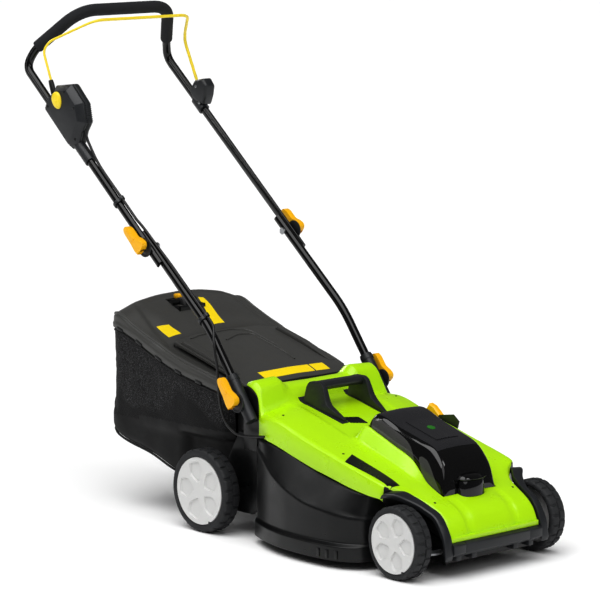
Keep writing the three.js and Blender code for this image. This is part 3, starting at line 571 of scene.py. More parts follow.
FRONT = {"name": "front", "x": 589, "radius": 75, "outer": 214, "disc": 62, "spin": -0.04}
REAR = {"name": "rear", "x": 0, "radius": 90, "outer": 222, "disc": 73, "spin": 1.85}
WHEEL_WIDTH = 42
TREAD_BLOCKS = 22
GROOVE_DEPTH = 2.6
CROSS_GROOVE = 0.085               # half a cross groove's width, as a share of one block's length
MIDDLE_GROOVE = 1.6                # half the width of the groove round the middle
PETALS = 5
PETAL_DEPTH = 4.2
# one hollow's corners in disc radii, from the hub out
PETAL = ((0.22, 0.0), (0.52, 0.29), (0.86, 0.21), (0.86, -0.21), (0.52, -0.29))


def tread(angle, radius, along, tread_radius):
    """Blocks of the tread: grooves cross each half of the width, those of one half between the others."""
    if radius < tread_radius - 1:
        return radius
    half_turn = 0.5 if along > 0 else 0.0
    place = (angle / (2 * math.pi) * TREAD_BLOCKS + half_turn) % 1
    in_cross = min(place, 1 - place) < CROSS_GROOVE
    in_middle = abs(along) < MIDDLE_GROOVE
    return radius - (GROOVE_DEPTH if in_cross or in_middle else 0)


def tyre(wheel, side_name, side):
    """The rubber tyre: sidewalls, blocks of tread and the seat for the disc."""
    radius, disc = wheel["radius"], wheel["disc"]
    half = WHEEL_WIDTH / 2
    profile = [
        (disc, -half + 3), (disc + 1.5, -half + 0.8), (radius - 9, -half), (radius - 4, -half + 1.4),
        (radius - 0.6, -half + 4.5), (radius, -half + 6), (radius, -2.2), (radius, -1.5), (radius, 1.5),
        (radius, 2.2), (radius, half - 6), (radius - 0.6, half - 4.5), (radius - 4, half - 1.4),
        (radius - 9, half), (disc + 1.5, half - 0.8), (disc, half - 3), (disc - 3, 0), (disc, -half + 3),
    ]
    centre = (wheel["x"], side * (wheel["outer"] - half), radius)
    steps = TREAD_BLOCKS * 12
    rings = []
    for k in range(steps):
        angle = 2 * math.pi * k / steps
        ring = []
        for r, along in profile:
            cut = tread(angle, r, along, radius - 0.7)
            ring.append((centre[0] + cut * math.sin(angle), centre[1] + along,
                         centre[2] + cut * math.cos(angle)))
        rings.append(ring)
    body = skin(f"{wheel['name']}_tyre_{side_name}", rings + rings[:1], RUBBER, crease=38)
    fitted(body, f"{wheel['name']}_wheel_{side_name}", f"{wheel['name']}_tyre_{side_name}")


def pressed_in(x, z):
    """How far the wheel's disc is pressed in at a place given in disc radii: five rounded kites."""
    radius, turn = math.hypot(x, z), math.atan2(z, x)
    step = 2 * math.pi / PETALS
    local = (turn + step / 2) % step - step / 2
    px, pz = radius * math.cos(local), radius * math.sin(local)
    edges = []
    for (ax, az), (bx, bz) in zip(PETAL, PETAL[1:] + PETAL[:1]):
        run = math.hypot(bx - ax, bz - az)
        edges.append(((pz - az) * (bx - ax) - (px - ax) * (bz - az)) / run)
    soft = 0.035
    outside = soft * math.log(sum(math.exp(e / soft) for e in edges))
    t = min(max((-outside + 0.008) / 0.024, 0.0), 1.0)
    return t * t * (3 - 2 * t) * PETAL_DEPTH


def wheel_disc(wheel, side_name, side):
    """The light disc: slightly domed, five kite-shaped hollows, a rolled rim and a plain boss behind."""
    disc, half = wheel["disc"], WHEEL_WIDTH / 2
    centre_y = side * (wheel["outer"] - half)
    rows, turns = 84, 320
    rings = []
    for k in range(turns):
        angle = 2 * math.pi * k / turns
        ring = []
        for i in range(rows + 1):
            share = i / rows * 0.955
            turn = angle - wheel["spin"]
            sink = pressed_in(share * math.cos(turn), share * math.sin(turn))
            dome = half - 2.2 + 1.6 * share**2
            ring.append((share * disc, dome - sink))
        ring += [(disc * 0.975, half - 0.1), (disc * 0.99, half - 0.4), (disc - 0.2, half - 2.0),
                 (disc - 0.2, half - 9), (22, half - 11), (17, -half + 2), (6.6, -half + 2), (6.6, half - 13),
                 (0, half - 13)]
        rings.append([
            (wheel["x"] + r * math.cos(angle), centre_y + side * along, wheel["radius"] + r * math.sin(angle))
            for r, along in ring
        ])
    body = skin("disc", rings + rings[:1], WHEEL, crease=30)
    catch = box("catch", wheel["x"] + disc * 0.42, wheel["x"] + disc * 0.52, centre_y + side * (half - 3),
                centre_y + side * (half + 0.3), wheel["radius"] - disc * 0.93, wheel["radius"] - disc * 0.84,
                RUBBER, 0.6)
    body = merge(f"{wheel['name']}_hub_{side_name}", body, catch)
    fitted(body, f"{wheel['name']}_wheel_{side_name}", f"{wheel['name']}_hub_{side_name}")


for wheel in (FRONT, REAR):
    for side_name, side in SIDES:
        tyre(wheel, side_name, side)
        wheel_disc(wheel, side_name, side)


# ------------------------------------------------------------------ deck

DECK_WALL = 3.5
# x, flange half width, wall half width, shoulder height, top half width, top height
DECK = (
    (142, 186, 181, 208, 176, 221), (152, 197, 190, 206, 186, 221), (175, 209, 200, 196, 193, 222),
    (235, 231, 221, 167, 194, 212), (295, 243, 233, 146, 194, 196), (350, 246, 236, 131, 194, 181),
    (410, 243, 232, 122, 194, 169), (450, 234, 222, 116, 194, 161), (484, 212, 200, 112, 188, 156),
    (502, 172, 166, 110, 162, 153), (540, 126, 122, 108, 121, 145), (600, 124, 121, 95, 120, 118),
    (650, 122, 120, 77, 118, 84),
)
FLANGE_RISE = 30
ROOF_HEIGHT = 102
ROOF_FRONT = 520
TUNNEL_FRONT = 222


def spread_out(stations, step):
    """Places along X: every station's own and enough between them."""
    xs = [s[0] for s in stations]
    places = []
    for a, b in zip(xs, xs[1:]):
        count = max(int(abs(b - a) / step + 0.999), 1)
        places += [a + (b - a) * k / count for k in range(count)]
    return places + [xs[-1]]


def deck_ring(x):
    """The drum's section: foot, flange, wall, shoulder and flat top. The foot rises under the nose."""
    flange, wall, shoulder, top, top_z = flow(DECK, x)
    foot = float(np.interp(x, (500, 545), (18, 28)))
    half = eased([
        (flange, foot), (flange, foot + FLANGE_RISE), (wall, foot + FLANGE_RISE + 5), (wall, shoulder - 8),
        (wall - 5, shoulder), (top, top_z), (0, top_z),
    ], [2.5, 3.5, 14, 9, 6])
    return [(x, y, z) for y, z in mirrored(half)]


def deck():
    """The moulded drum round the blade, its skirt, the rear axle's arms, the roof and the grass tunnel."""
    shell = skin("deck", [deck_ring(x) for x in spread_out(DECK, 6)], DECK_BLACK, crease=50)
    parts = [thicken(shell, DECK_WALL)]
    parts.append(box("sill", 142, 146, -180, 180, 19, 74, DECK_BLACK, 1))
    parts.append(box("lintel", 142, 146, -174, 174, 204, 220, DECK_BLACK, 1))
    parts.append(box("nose", 645, 649, -117, 117, 30, 82, DECK_BLACK, 1))
    for side in (RIGHT, LEFT):
        cheek = [(122, 70), (178, 70), (178, 195), (173, 218), (122, 218)]
        rings = [[(x, side * y, z) for y, z in cheek] for x in (142, 146)]
        parts.append(skin("cheek", rings, DECK_BLACK, around=True, caps=True))
        arm = [(-22, 62), (-22, 108), (20, 150), (60, 222), (148, 222), (148, 74), (100, 46), (20, 46)]
        parts.append(plate("arm", arm, side * 150, side * 160, DECK_BLACK, 2.5))
        for x in (402, 424, 446):
            flange = float(flow(DECK, x)[0])
            low, high = side * (flange - 3), side * (flange + 1.6)
            parts.append(box("rib", x - 4, x + 4, low, high, 22, 40, DECK_BLACK, 0.8))
    rings = []
    for x in spread_out([station for station in DECK if TUNNEL_FRONT <= station[0] <= ROOF_FRONT], 12):
        y = float(flow(DECK, x)[1]) - 2.5
        low, high = ROOF_HEIGHT - DECK_WALL, ROOF_HEIGHT
        rings.append([(x, -y, low), (x, y, low), (x, y, high), (x, -y, high)])
    parts.append(skin("roof", rings, DECK_BLACK, around=True, caps=True))
    parts.append(box("tunnel", TUNNEL_FRONT, TUNNEL_FRONT + DECK_WALL, -190, 190, 98.5, 205, DECK_BLACK, 0.5))
    fitted(merge("deck_housing", *parts), "deck", "deck_housing")


deck()


# ------------------------------------------------------------------ hood

HOOD_WALL = 3.0
# x, then y and z of: lower edge, crease, inner edge of the rear hump, foot of the hump, spine's foot,
# spine's shoulder start, spine's edge, middle
HOOD = (
    (100, 176, 214, 176, 322, 168, 333, 108, 336, 90, 322, 84, 321, 78, 321, 0, 320),
    (118, 177, 214, 177, 326, 168, 338, 108, 341, 90, 325, 84, 324, 78, 324, 0, 323),
    (138, 178, 218, 178, 312, 169, 328, 109, 332, 92, 320, 86, 319, 80, 319, 0, 318),
    (150, 181, 224, 181, 290, 174, 302, 114, 308, 98, 306, 88, 305, 82, 305, 0, 305),
    (162, 187, 228, 186, 268, 178, 276, 130, 284, 106, 289, 90, 289, 82, 289, 0, 290),
    (195, 195, 223, 191, 268, 184, 274, 140, 281, 108, 285, 94, 282, 82, 281, 0, 283),
    (282, 195, 200, 191, 245, 184, 250, 150, 256, 106, 261, 98, 260, 80, 260, 0, 262),
    (345, 195, 184, 191, 228, 184, 233, 150, 238, 107, 242, 98, 242, 82, 244, 0, 246),
    (366, 195, 180, 191, 223, 184, 228, 150, 232, 108, 236, 98, 240, 81, 267, 0, 268),
    (400, 195, 173, 191, 214, 184, 219, 150, 221, 108, 224, 98, 228, 81, 256, 0, 257),
    (450, 195, 163, 191, 202, 184, 206, 150, 207, 110, 209, 98, 212, 80, 237, 0, 238),
    (505, 195, 156, 191, 188, 184, 192, 150, 191, 112, 191, 99, 194, 79, 215, 0, 216),
    (530, 193, 154, 189, 181, 182, 184, 150, 182, 112, 182, 98, 183, 78, 192, 0, 193),
    (548, 166, 120, 164, 166, 158, 172, 140, 174, 112, 174, 97, 174, 77, 174, 0, 174),
    (575, 142, 104, 140, 152, 135, 158, 125, 159, 110, 160, 96, 160, 77, 160, 0, 160),
    (612, 130, 92, 129, 138, 124, 143, 116, 144, 104, 145, 92, 145, 77, 145, 0, 146),
    (640, 127, 82, 126, 122, 122, 127, 114, 128, 103, 128, 90, 129, 76, 130, 0, 131),
    (656, 126, 78, 126, 104, 122, 108, 113, 109, 102, 110, 90, 110, 76, 111, 0, 112),
    (666, 126, 76.5, 126, 82, 122, 84, 113, 85, 102, 85, 90, 86, 76, 86, 0, 86),
)
ARCH_START = 533                   # in front of this the hood's sides are cut away for the wheels
BAY = (371.0, 594.0, 76.8)         # rear, front and half width of the battery's opening
POST_CENTRE = (104, 286)


def flute(x, y):
    """The two shallow valleys that run down the nose, in line with the battery bay's sides."""
    if x < 590:
        return 0.0
    fade = min((x - 590) / 30, 1.0)
    return 2.6 * fade * math.exp(-(((abs(y) - 66) / 9) ** 2))


def hood_half(x):
    """The hood's section from its lower edge up to the middle line."""
    row = flow(HOOD, x)
    pairs = list(zip(row[::2], row[1::2]))
    return eased(pairs, [3, 3.5, 5, 4, 3, 3.5], 3)


def hood_ring(x):
    """The whole section, with the nose's valleys pressed in and enough points across the top."""
    half = hood_half(x)
    top = half[:-1] + [half[-2] * (1 - k / 8) + half[-1] * k / 8 for k in range(1, 9)]
    return [(x - flute(x, y), y, z - flute(x, y)) for y, z in mirrored(top)]


def hood_height(x, y):
    """Height of the hood's upper face over a place."""
    half = hood_half(x)
    ys = [p[0] for p in half][::-1]
    zs = [p[1] for p in half][::-1]
    return float(np.interp(abs(y), ys, zs))


def laid_on(name, height, corners, finish, lift=0.5, thick=0.8, steps=10):
    """A thin film that follows a surface between four corners given as X, Y."""
    a, b, c, d = (np.array(p, float) for p in corners)
    rings = []
    for i in range(steps + 1):
        row = []
        for j in range(steps + 1):
            u, v = i / steps, j / steps
            x, y = (1 - u) * ((1 - v) * a + v * b) + u * ((1 - v) * d + v * c)
            row.append((x, y, height(x, y) + lift))
        rings.append(row)
    film = skin(name, rings, finish, crease=60)
    return thicken(film, thick)


def post_outline(grow):
    """The rounded post inside each rear corner of the hood, seen from the side."""
    cx, cz = POST_CENTRE
    arc = [(cx + (43 + grow) * math.cos(math.radians(a)), cz + (40 + grow) * math.sin(math.radians(a)))
           for a in range(0, 91, 6)]
    return [(60, 190), (147 + grow, 190)] + arc + [(60, 325 + grow)]


def hood():
    """The bright cover over the motor: rear posts' ears, raised spine, battery bay and rounded nose."""
    shell = skin("hood", [hood_ring(x) for x in spread_out(HOOD, 5)], LIME, crease=60)
    thicken(shell, HOOD_WALL)
    rear, front, half = BAY
    bay = plate("bay", [(rear, 420), (rear, 190), (540, 110), (front, 110), (front, 420)], -half, half, LIME)
    posts = [plate("post", post_outline(1), side * 158, side * 230, LIME) for side in (RIGHT, LEFT)]
    carve(shell, bay, *posts)
    rounded_off(shell, 0.9, 2, 50)
    smooth(shell, 45)
    shell.data.materials.append(DECK_BLACK)
    for face in shell.data.polygons:
        x, y, z = face.center.x / MM + MIDDLE_X, abs(face.center.y) / MM, face.center.z / MM
        if x > ARCH_START:
            crease_y, crease_z = flow(HOOD, x)[2:4]
            if y > crease_y - 4 and z < crease_z + 1:
                face.material_index = 1
    closed = [box("wall", rear - 3, rear, -half, half, 205, 262, LIME, 0.8),
              box("nose edge", 661, 668.5, -125.5, 125.5, 75.6, 87, LIME, 1.8)]
    for side in (RIGHT, LEFT):
        for x, y in ((205, 163), (392, 165), (606, 112)):
            place = (x, side * y, hood_height(x, y))
            closed.append(turned("dot", [(0, 0.9), (2.4, 0.9), (2.6, -1)], place, DECK_BLACK, 16, (0, 0, 1)))
    plaque_corners = ((262, -52), (292, -52), (306, -14), (276, -14))
    plaque = laid_on("plaque", hood_height, plaque_corners, DARK_FILM_AND_SHADE)
    stripe_corners = ((402, -150), (420, -186), (541, -178), (541, -148))
    stripe = laid_on("stripe", hood_height, stripe_corners, DARK_FILM_AND_SHADE, 0.7, 0.8, 24)
    fitted(merge("hood_cover", shell, *closed, plaque, stripe), "deck", "hood_cover")


hood()


def handle_bracket(side_name, side):
    """The post that the handle's tube folds on."""
    arch = [(max(x, 97), z) for x, z in post_outline(0)[2:]]
    outline = [(97, 190), (140, 190), (140, 224), (147, 224)] + arch
    body = plate("post", outline, side * 161, side * 179.5, DECK_BLACK, 2.0)
    fitted(merge(f"bracket_{side_name}", body), "deck", f"handle_bracket_{side_name}")


for side_name, side in SIDES:
    handle_bracket(side_name, side)


# ------------------------------------------------------------------ front trim


def front_bumper():
    """The dark bar under the nose, in three moulded lengths with small feet."""
    outline = eased([(651, 48), (651, 74), (668, 75.5), (678, 72), (678, 54), (670, 47), (651, 47)], 2, 3)
    parts = [plate("middle", outline, -92, 92, TRIM, 1.2)]
    for side in (RIGHT, LEFT):
        low, high = sorted((side * 92.8, side * 127))
        parts.append(plate("end", outline, low, high, TRIM, 1.2))
        for y in (60, 104):
            parts.append(box("foot", 648, 668, side * y - 7, side * y + 7, 36, 50, TRIM, 1.5))
    fitted(merge("front_bumper", *parts), "deck", "front_bumper")


# x, height, inner edge, outer edge of the lip over a front wheel
ARCH = (
    (538, 164, 186, 197), (548, 168, 169, 197), (560, 168, 158, 190), (580, 158, 143, 169.5),
    (612, 142, 132.5, 152), (642, 127, 128.5, 148), (660, 104, 128, 148), (672, 78, 128, 148),
    (676, 50, 128, 148),
)


def arch_trim(side_name, side):
    """The dark lip that follows the hood's cut-away corner over a front wheel."""
    rings = []
    for x in spread_out(ARCH, 4):
        z, y0, y1 = flow(ARCH, x)
        rings.append([(x, side * y0, z + 3), (x + 0.4, side * (y1 - 3), z + 1), (x, side * y1, z - 1.5),
                      (x - 4, side * y1, z - 9), (x - 4, side * y0, z - 9)])
    body = skin("arch", rings, TRIM, around=True, caps=True, crease=30)
    rounded_off(body, 1.0, 2)
    fitted(merge(f"arch_trim_{side_name}", body), "deck", f"arch_trim_{side_name}")


front_bumper()
for side_name, side in SIDES:
    arch_trim(side_name, side)


# ------------------------------------------------------------------ carrying handle


def carry_handle():
    """A thick bar across two legs; each leg runs forward into a pointed toe on the hood."""
    profile = eased([(166, 287), (173, 324), (182, 333.5), (213, 334), (223, 328), (238, 290), (284, 265),
                     (284, 260), (240, 268), (186, 279), (166, 284)], [5, 5, 5, 5, 10, 1, 1, 10, 5], 4)
    parts = []
    for side in (RIGHT, LEFT):
        low, high = sorted((side * 56, side * 72))
        leg = plate("leg", profile, low, high, TRIM)
        for corner in leg.data.vertices:
            if abs(corner.co.y) / MM > 64:
                above = max(corner.co.z / MM - 290, 0)
                corner.co.y -= side * 0.12 * above * MM
                ahead = max(corner.co.x / MM + MIDDLE_X - 240, 0)
                if abs(corner.co.y) / MM > 64:
                    corner.co.y -= side * 0.2 * ahead * MM
        parts.append(rounded_off(leg, 2.2, 3))
        pad_corners = ((156, side * 54), (156, side * 77), (290, side * 74), (290, side * 54))
        parts.append(laid_on("pad", hood_height, pad_corners, TRIM, 1.0, 1.5, 16))
    bar = eased([(187, 316), (182, 326), (186, 333.5), (211, 334.5), (216, 326), (213, 317), (200, 314.5)], 4)
    parts.append(plate("bar", bar, -60, 60, TRIM))
    fitted(merge("carry_handle", *parts), "deck", "carry_handle")


carry_handle()


# ------------------------------------------------------------------ battery bay

# x, bottom height, top height, bottom half width, top half width
COVER = (
    (372, 262, 272, 70, 64), (376, 258, 284, 75, 67), (388, 252, 292, 76, 66), (451, 230, 272, 76, 65),
    (507, 208, 256, 76, 64), (546, 158, 244, 75.5, 62), (570, 148, 224, 75, 62), (586, 147, 198, 74, 63),
    (593, 147, 162, 72, 64),
)


COVER_WALL = 2.4
# x, share of the wall's height at the lower edge, at the upper edge
LONG_WINDOW = ((382, 0.1, 0.84), (400, 0.06, 0.9), (440, 0.05, 0.9), (470, 0.05, 0.84), (490, 0.06, 0.7),
               (503, 0.1, 0.45), (509, 0.16, 0.2))
FRONT_WINDOW = ((522, 0.5, 0.56), (528, 0.26, 0.66), (540, 0.08, 0.7), (556, 0.04, 0.58), (572, 0.04, 0.4),
                (584, 0.06, 0.24))
# height, half width, reach forward of the finger bulge
BULGE = ((147, 36, 26), (160, 35.5, 25.5), (172, 34.5, 24), (181, 32, 21), (187, 27, 16), (190, 18, 8),
         (191, 6, 1))


def cover_half(x):
    """The cover's section: side wall, long lean inwards, rounded upper edge and nearly flat top."""
    bottom, top, low, high = flow(COVER, x)
    return eased([
        (low, bottom), (low, bottom + 3 + (top - bottom) * 0.35), (high + 5, top - 7), (high - 4, top),
        (high - 30, top + 2), (0, top + 3),
    ], [10, 5, 5, 12], 5)


def cover_ring(x):
    """The whole section of the cover, with enough points across its top."""
    half = cover_half(x)
    start, end = half[-2], half[-1]
    half = half[:-1] + [start + (end - start) * k / 4 for k in range(1, 5)]
    return [(x, y, z) for y, z in mirrored(half)]


def cover_height(x, y):
    """Height of the cover's top over a place."""
    half = cover_half(x)
    return float(np.interp(abs(y), [p[0] for p in half][::-1], [p[1] for p in half][::-1]))


def cover_side(x, share, side, lift):
    """A point on the cover's side wall: share runs from its foot to its upper edge."""
    bottom, top = flow(COVER, x)[:2]
    half = [p for p in cover_half(x) if p[1] <= top - 3.0]
    zs = [p[1] for p in half]
    z = bottom + share * (zs[-1] - bottom)
    y = float(np.interp(z, zs, [p[0] for p in half]))
    return (x, side * (y + lift), z)


def side_window(name, edge, side, finish, lift=0.45, steps=14):
    """A clear panel let into the cover's side; edge holds (x, share of its lower edge, of its upper edge)."""
    rings = []
    for x in spread_out(edge, 4):
        low, high = flow(edge, x)
        rings.append([cover_side(x, low + (high - low) * k / steps, side, lift) for k in range(steps + 1)])
    return thicken(skin(name, rings, finish, crease=60), 1.2)


def bulge_line(back, reach, width, z, steps=24):
    """A level line round the finger bulge, full at its sides and blunt at its front."""
    turns = [math.pi * k / steps for k in range(steps + 1)]
    return [(back + reach * math.sin(a) ** 0.6, -width * math.cos(a), z) for a in turns]


def battery_cover():
    """The hinged cover: mirror-black shell, satin top with a round dot, smoked side windows, finger bulge."""
    shell = skin("cover", [cover_ring(x) for x in spread_out(COVER, 3)], GLOSS, crease=50)
    parts = [thicken(shell, COVER_WALL)]
    for x, inwards in ((COVER[-1][0], -COVER_WALL), (COVER[0][0], COVER_WALL)):
        outer = cover_ring(x)
        inner = [(x + inwards, y * 0.97, z) for _, y, z in outer]
        parts.append(skin("end wall", [outer, inner], GLOSS, around=True, caps=True))
    top_corners = ((376, -63), (376, 63), (556, 56), (556, -56))
    parts.append(laid_on("satin top", cover_height, top_corners, COVER_TOP, 0.45, 1.0, 48))
    inset_corners = ((440, -34), (440, 34), (528, 31), (528, -31))
    parts.append(laid_on("inset", cover_height, inset_corners, COVER_TOP, 2.2, 2.5, 20))
    dot = [(0, 0.5), (8.5, 0.5), (9.0, 0.2), (9.0, -0.6)]
    dot_place = (480, 0, cover_height(480, 0) + 2.3)
    parts.append(turned("dot", dot, dot_place, GREEN_FILM, 40, (0.28, 0, 1)))
    for side in (RIGHT, LEFT):
        parts.append(side_window("long window", LONG_WINDOW, side, SMOKE))
        parts.append(side_window("front window", FRONT_WINDOW, side, SMOKE))
    rows = [bulge_line(588, reach, width, z) for z, width, reach in BULGE]
    parts.append(skin("bulge", rows, GLOSS, around=True, caps=True, crease=50))
    parts.append(rod("brow", bulge_line(589, 25.5, 36, 182), 1.3, GLOSS, 12))
    fitted(merge("battery_cover", *parts), "battery_lid", "battery_cover")


battery_cover()


# ------------------------------------------------------------------ handle

TUBE_RADIUS = 9.5
LOWER_Y, UPPER_Y = 194, 204
LOWER_PIVOT = (112, 296)
UPPER_PIVOT = (-182, 595.5)


UPPER_SLOPE = -1.176               # how far the tubes run to the rear for each millimetre up
LOWER_SLOPE = -1.189
FOOT_SLOPE = -0.75
BEND_HEIGHT = 441
PRESSED_BELOW = 648                # under this height the upper tube is pressed flat against the lower one
PRESSED_FACE = 204.2


def on_upper(z):
    """X of the upper tube's middle at a height."""
    return -305 + UPPER_SLOPE * (z - 700)


def on_lower(z):
    """X of the lower tube's middle at a height, above or below its bend."""
    return -66.6 + LOWER_SLOPE * (z - 500) if z > BEND_HEIGHT else 35.2 + FOOT_SLOPE * (z - 400)


def lower_tube(side_name, side):
    """The bent lower tube, and the moulded foot that it stands in."""
    y = side * LOWER_Y
    path = eased([(on_lower(268), y, 268), (4.5, y, BEND_HEIGHT), (on_lower(622), y, 622)], 38, 12)
    tube = rod("tube", path, TUBE_RADIUS, TUBE, 28, 0.8)
    fitted(merge(f"lower_tube_{side_name}", tube), "lower_handle", f"lower_tube_{side_name}")
    low, high = (on_lower(258), y, 258), (on_lower(346), y, 346)
    sleeve = rod("sleeve", [low, high], 13.5, TRIM, 28, 1.4)
    low_ring, high_ring = (on_lower(336), y, 336), (on_lower(343), y, 343)
    collar = rod("collar", [low_ring, high_ring], 14.6, TRIM, 28, 0.8)
    fitted(merge(f"tube_foot_{side_name}", sleeve, collar), "lower_handle", f"tube_foot_{side_name}")


TOP = ((on_upper(958), UPPER_Y, 958), (-594, 190, 998.5), (-511, 127, 1085))


def handle_path():
    """The upper tube's middle line, from the right end over the top to the left end."""
    half = [(on_upper(562), UPPER_Y, 562)] + list(TOP)
    right = [(x, -y, z) for x, y, z in half]
    return eased(right + half[::-1], [40, 22, 46, 46, 22, 40], 12)


def handle_bar():
    """The upper tube, its ends pressed flat on the sides that meet the lower tubes."""
    tube = rod("tube", handle_path(), TUBE_RADIUS, TUBE, 28, 0.8)
    for side in (RIGHT, LEFT):
        for corner in tube.data.vertices:
            y, z = corner.co.y / MM * side, corner.co.z / MM
            if z < PRESSED_BELOW and 0 < y < PRESSED_FACE:
                corner.co.y = side * PRESSED_FACE * MM
    fitted(merge("handle_bar", smooth(tube, 40)), "upper_handle", "handle_bar")


def foam_grip():
    """A foam sleeve pushed over the top of the handle, its ends pressed a little thinner."""
    start, corner = np.array(TOP[1], float), np.array(TOP[2], float)
    first = start + (corner - start) / np.linalg.norm(corner - start) * 6
    half = [tuple(first), tuple(corner)]
    right = [(x, -y, z) for x, y, z in half]
    path = eased(right + half[::-1], [46, 46], 14)
    marks = (0.0, 1 / 60, 1 / 30) + tuple(k / 12 for k in range(1, 12))
    begin = [path[0] + (path[1] - path[0]) * t for t in marks]
    end = [path[-1] + (path[-2] - path[-1]) * t for t in marks[::-1]]
    run = begin + path[1:-1] + end
    radii = [12.2, 13.2, 13.6] + [13.7] * (len(run) - 6) + [13.6, 13.2, 12.2]
    sleeve = rod("sleeve", run, radii, FOAM, 32)
    fitted(merge("foam_grip", sleeve), "upper_handle", "foam_grip")


for side_name, side in SIDES:
    lower_tube(side_name, side)
handle_bar()
foam_grip()


# ------------------------------------------------------------------ clamps

CAM_DEPTH = 9
LEVER_DEPTH = 14
CLAMPS = {
    "lower": {"pivot": LOWER_PIVOT, "washer": (208.2, 212.7), "lever": 216.2, "tilt": math.atan(-FOOT_SLOPE),
              "handle": "lower_handle"},
    "upper": {"pivot": UPPER_PIVOT, "washer": (214, 217.4), "lever": 221, "tilt": math.atan(-UPPER_SLOPE),
              "handle": "upper_handle"},
}


def tilted(points, tilt, pivot):
    """Outline points round a pivot, leaned back from upright by tilt."""
    c, s = math.cos(tilt), math.sin(tilt)
    return [(pivot[0] + x * c - z * s, pivot[1] + x * s + z * c) for x, z in points]


def cam_lever(level, side_name, side):
    """A moulded paddle: lobed cam end slotted over the bolt, pin through the lobe, thumb end swept out."""
    clamp = CLAMPS[level]
    inner = side * clamp["lever"]
    outer = side * (clamp["lever"] + LEVER_DEPTH)
    outline = eased([(-12, -6), (0, -9), (14, -7), (19, 1), (15, 14), (9, 25), (9, 50), (5, 61), (-5, 62),
                     (-10, 52), (-11, 22), (-14, 4), (-12, -8)], 4, 3)
    flat = tilted(outline, clamp["tilt"], clamp["pivot"])
    low, high = sorted((inner, outer))
    paddle = plate("paddle", flat, low, high, AMBER, 2.6, segments=3)
    slot = tilted([(-4, -20), (4, -20), (4, 8), (-4, 8)], clamp["tilt"], clamp["pivot"])
    depth = sorted((side * (clamp["lever"] - 10), side * (clamp["lever"] + CAM_DEPTH + 4)))
    carve(paddle, plate("slot", slot, *depth, AMBER))
    smooth(paddle, 40)
    centre = clamp["pivot"]
    pin_y = side * (clamp["lever"] + CAM_DEPTH)
    along = Vector((math.cos(clamp["tilt"]), 0, math.sin(clamp["tilt"])))
    pin = turned("pin", [(0, -14.6), (2.4, -14.6), (3, -14), (3, 14), (2.4, 14.6), (0, 14.6)],
                 (centre[0], pin_y, centre[1]), ZINC, 20, along)
    rib = tilted(eased([(-6, 22), (6, 22), (4.5, 50), (-4.5, 50), (-6, 22)], 3, 3), clamp["tilt"], centre)
    ridge_depth = sorted((outer - side * 1, outer + side * 1.2))
    ridge = plate("ridge", rib, *ridge_depth, AMBER, 0.8)
    body = merge(f"{level}_lever_{side_name}", paddle, pin, ridge)
    fitted(body, f"cam_{level}_{side_name}", f"{level}_lever_{side_name}")


def cup_washer(level, side_name, side):
    """A dished washer with a rolled rim and a spring cap in its middle."""
    clamp = CLAMPS[level]
    inner, outer = clamp["washer"]
    half = (outer - inner) / 2
    x, z = clamp["pivot"]
    centre = (x, side * (inner + outer) / 2, z)
    dish = [(3.6, -half), (19, -half), (21, -half + 0.8), (21, half - 0.6), (19.6, half), (17.5, half - 0.9),
            (13, half - 1.4), (9, half - 0.4), (3.6, half), (3.6, -half)]
    washer = turned("washer", [(r, along * side) for r, along in dish], centre, TRIM, 48)
    dome = [(3.5, half - 0.2), (9, half - 0.2), (8.4, half + 2.6), (3.5, half + 3)]
    cap_finish = ORANGE if side == LEFT else TRIM
    cap = turned("cap", [(r, along * side) for r, along in dome], centre, cap_finish, 36)
    fitted(merge(f"{level}_washer_{side_name}", washer, cap), clamp["handle"], f"{level}_washer_{side_name}")


for level in ("lower", "upper"):
    for side_name, side in SIDES:
        cam_lever(level, side_name, side)
        cup_washer(level, side_name, side)


# ------------------------------------------------------------------ controls

BOX_OUTLINE = ((-528, 872), (-519, 895), (-502, 908), (-489, 925), (-436, 931), (-396, 893), (-387, 848),
               (-402, 826), (-412, 800), (-432, 788))
BUTTON = (-470, 894)


def pulled_in(outline, by):
    """The outline moved towards its own middle by about by millimetres."""
    middle = np.mean(np.array(outline), axis=0)
    made = []
    for p in outline:
        out = np.array(p) - middle
        made.append(tuple(middle + out * (1 - by / np.linalg.norm(out))))
    return made


def screw(name, x, y, z, radius, side, finish):
    """A recessed cross-head screw seen end on. Its cross recess is not cut in: two dark bars standing on the
    head are painted shade in its place.
    """
    dome = [(0, 0.6), (radius * 0.5, 0.6), (radius, 0.2), (radius, -1.5)]
    head = turned("head", [(r, along * side) for r, along in dome], (x, y, z), finish, 24)
    half = radius * 0.6
    low, high = sorted((y + side * 0.2, y + side * 0.75))
    # painted shade: these dark bars stand in for the shaded cross recess
    painted_shade_bars = [box("bar", x - half, x + half, low, high, z - 0.5, z + 0.5, DARK_FILM_AND_SHADE),
            box("bar", x - 0.5, x + 0.5, low, high, z - half, z + half, DARK_FILM_AND_SHADE)]
    return merge(name, head, *painted_shade_bars)


def faceted(name, outline, levels, finish, bevel):
    """A box whose outline narrows through levels of (y, pulled in by)."""
    rings = [[(x, y, z) for x, z in pulled_in(outline, by)] for y, by in levels]
    body = skin(name, rings, finish, around=True, caps=True, crease=20)
    return rounded_off(body, bevel, 2, 15)


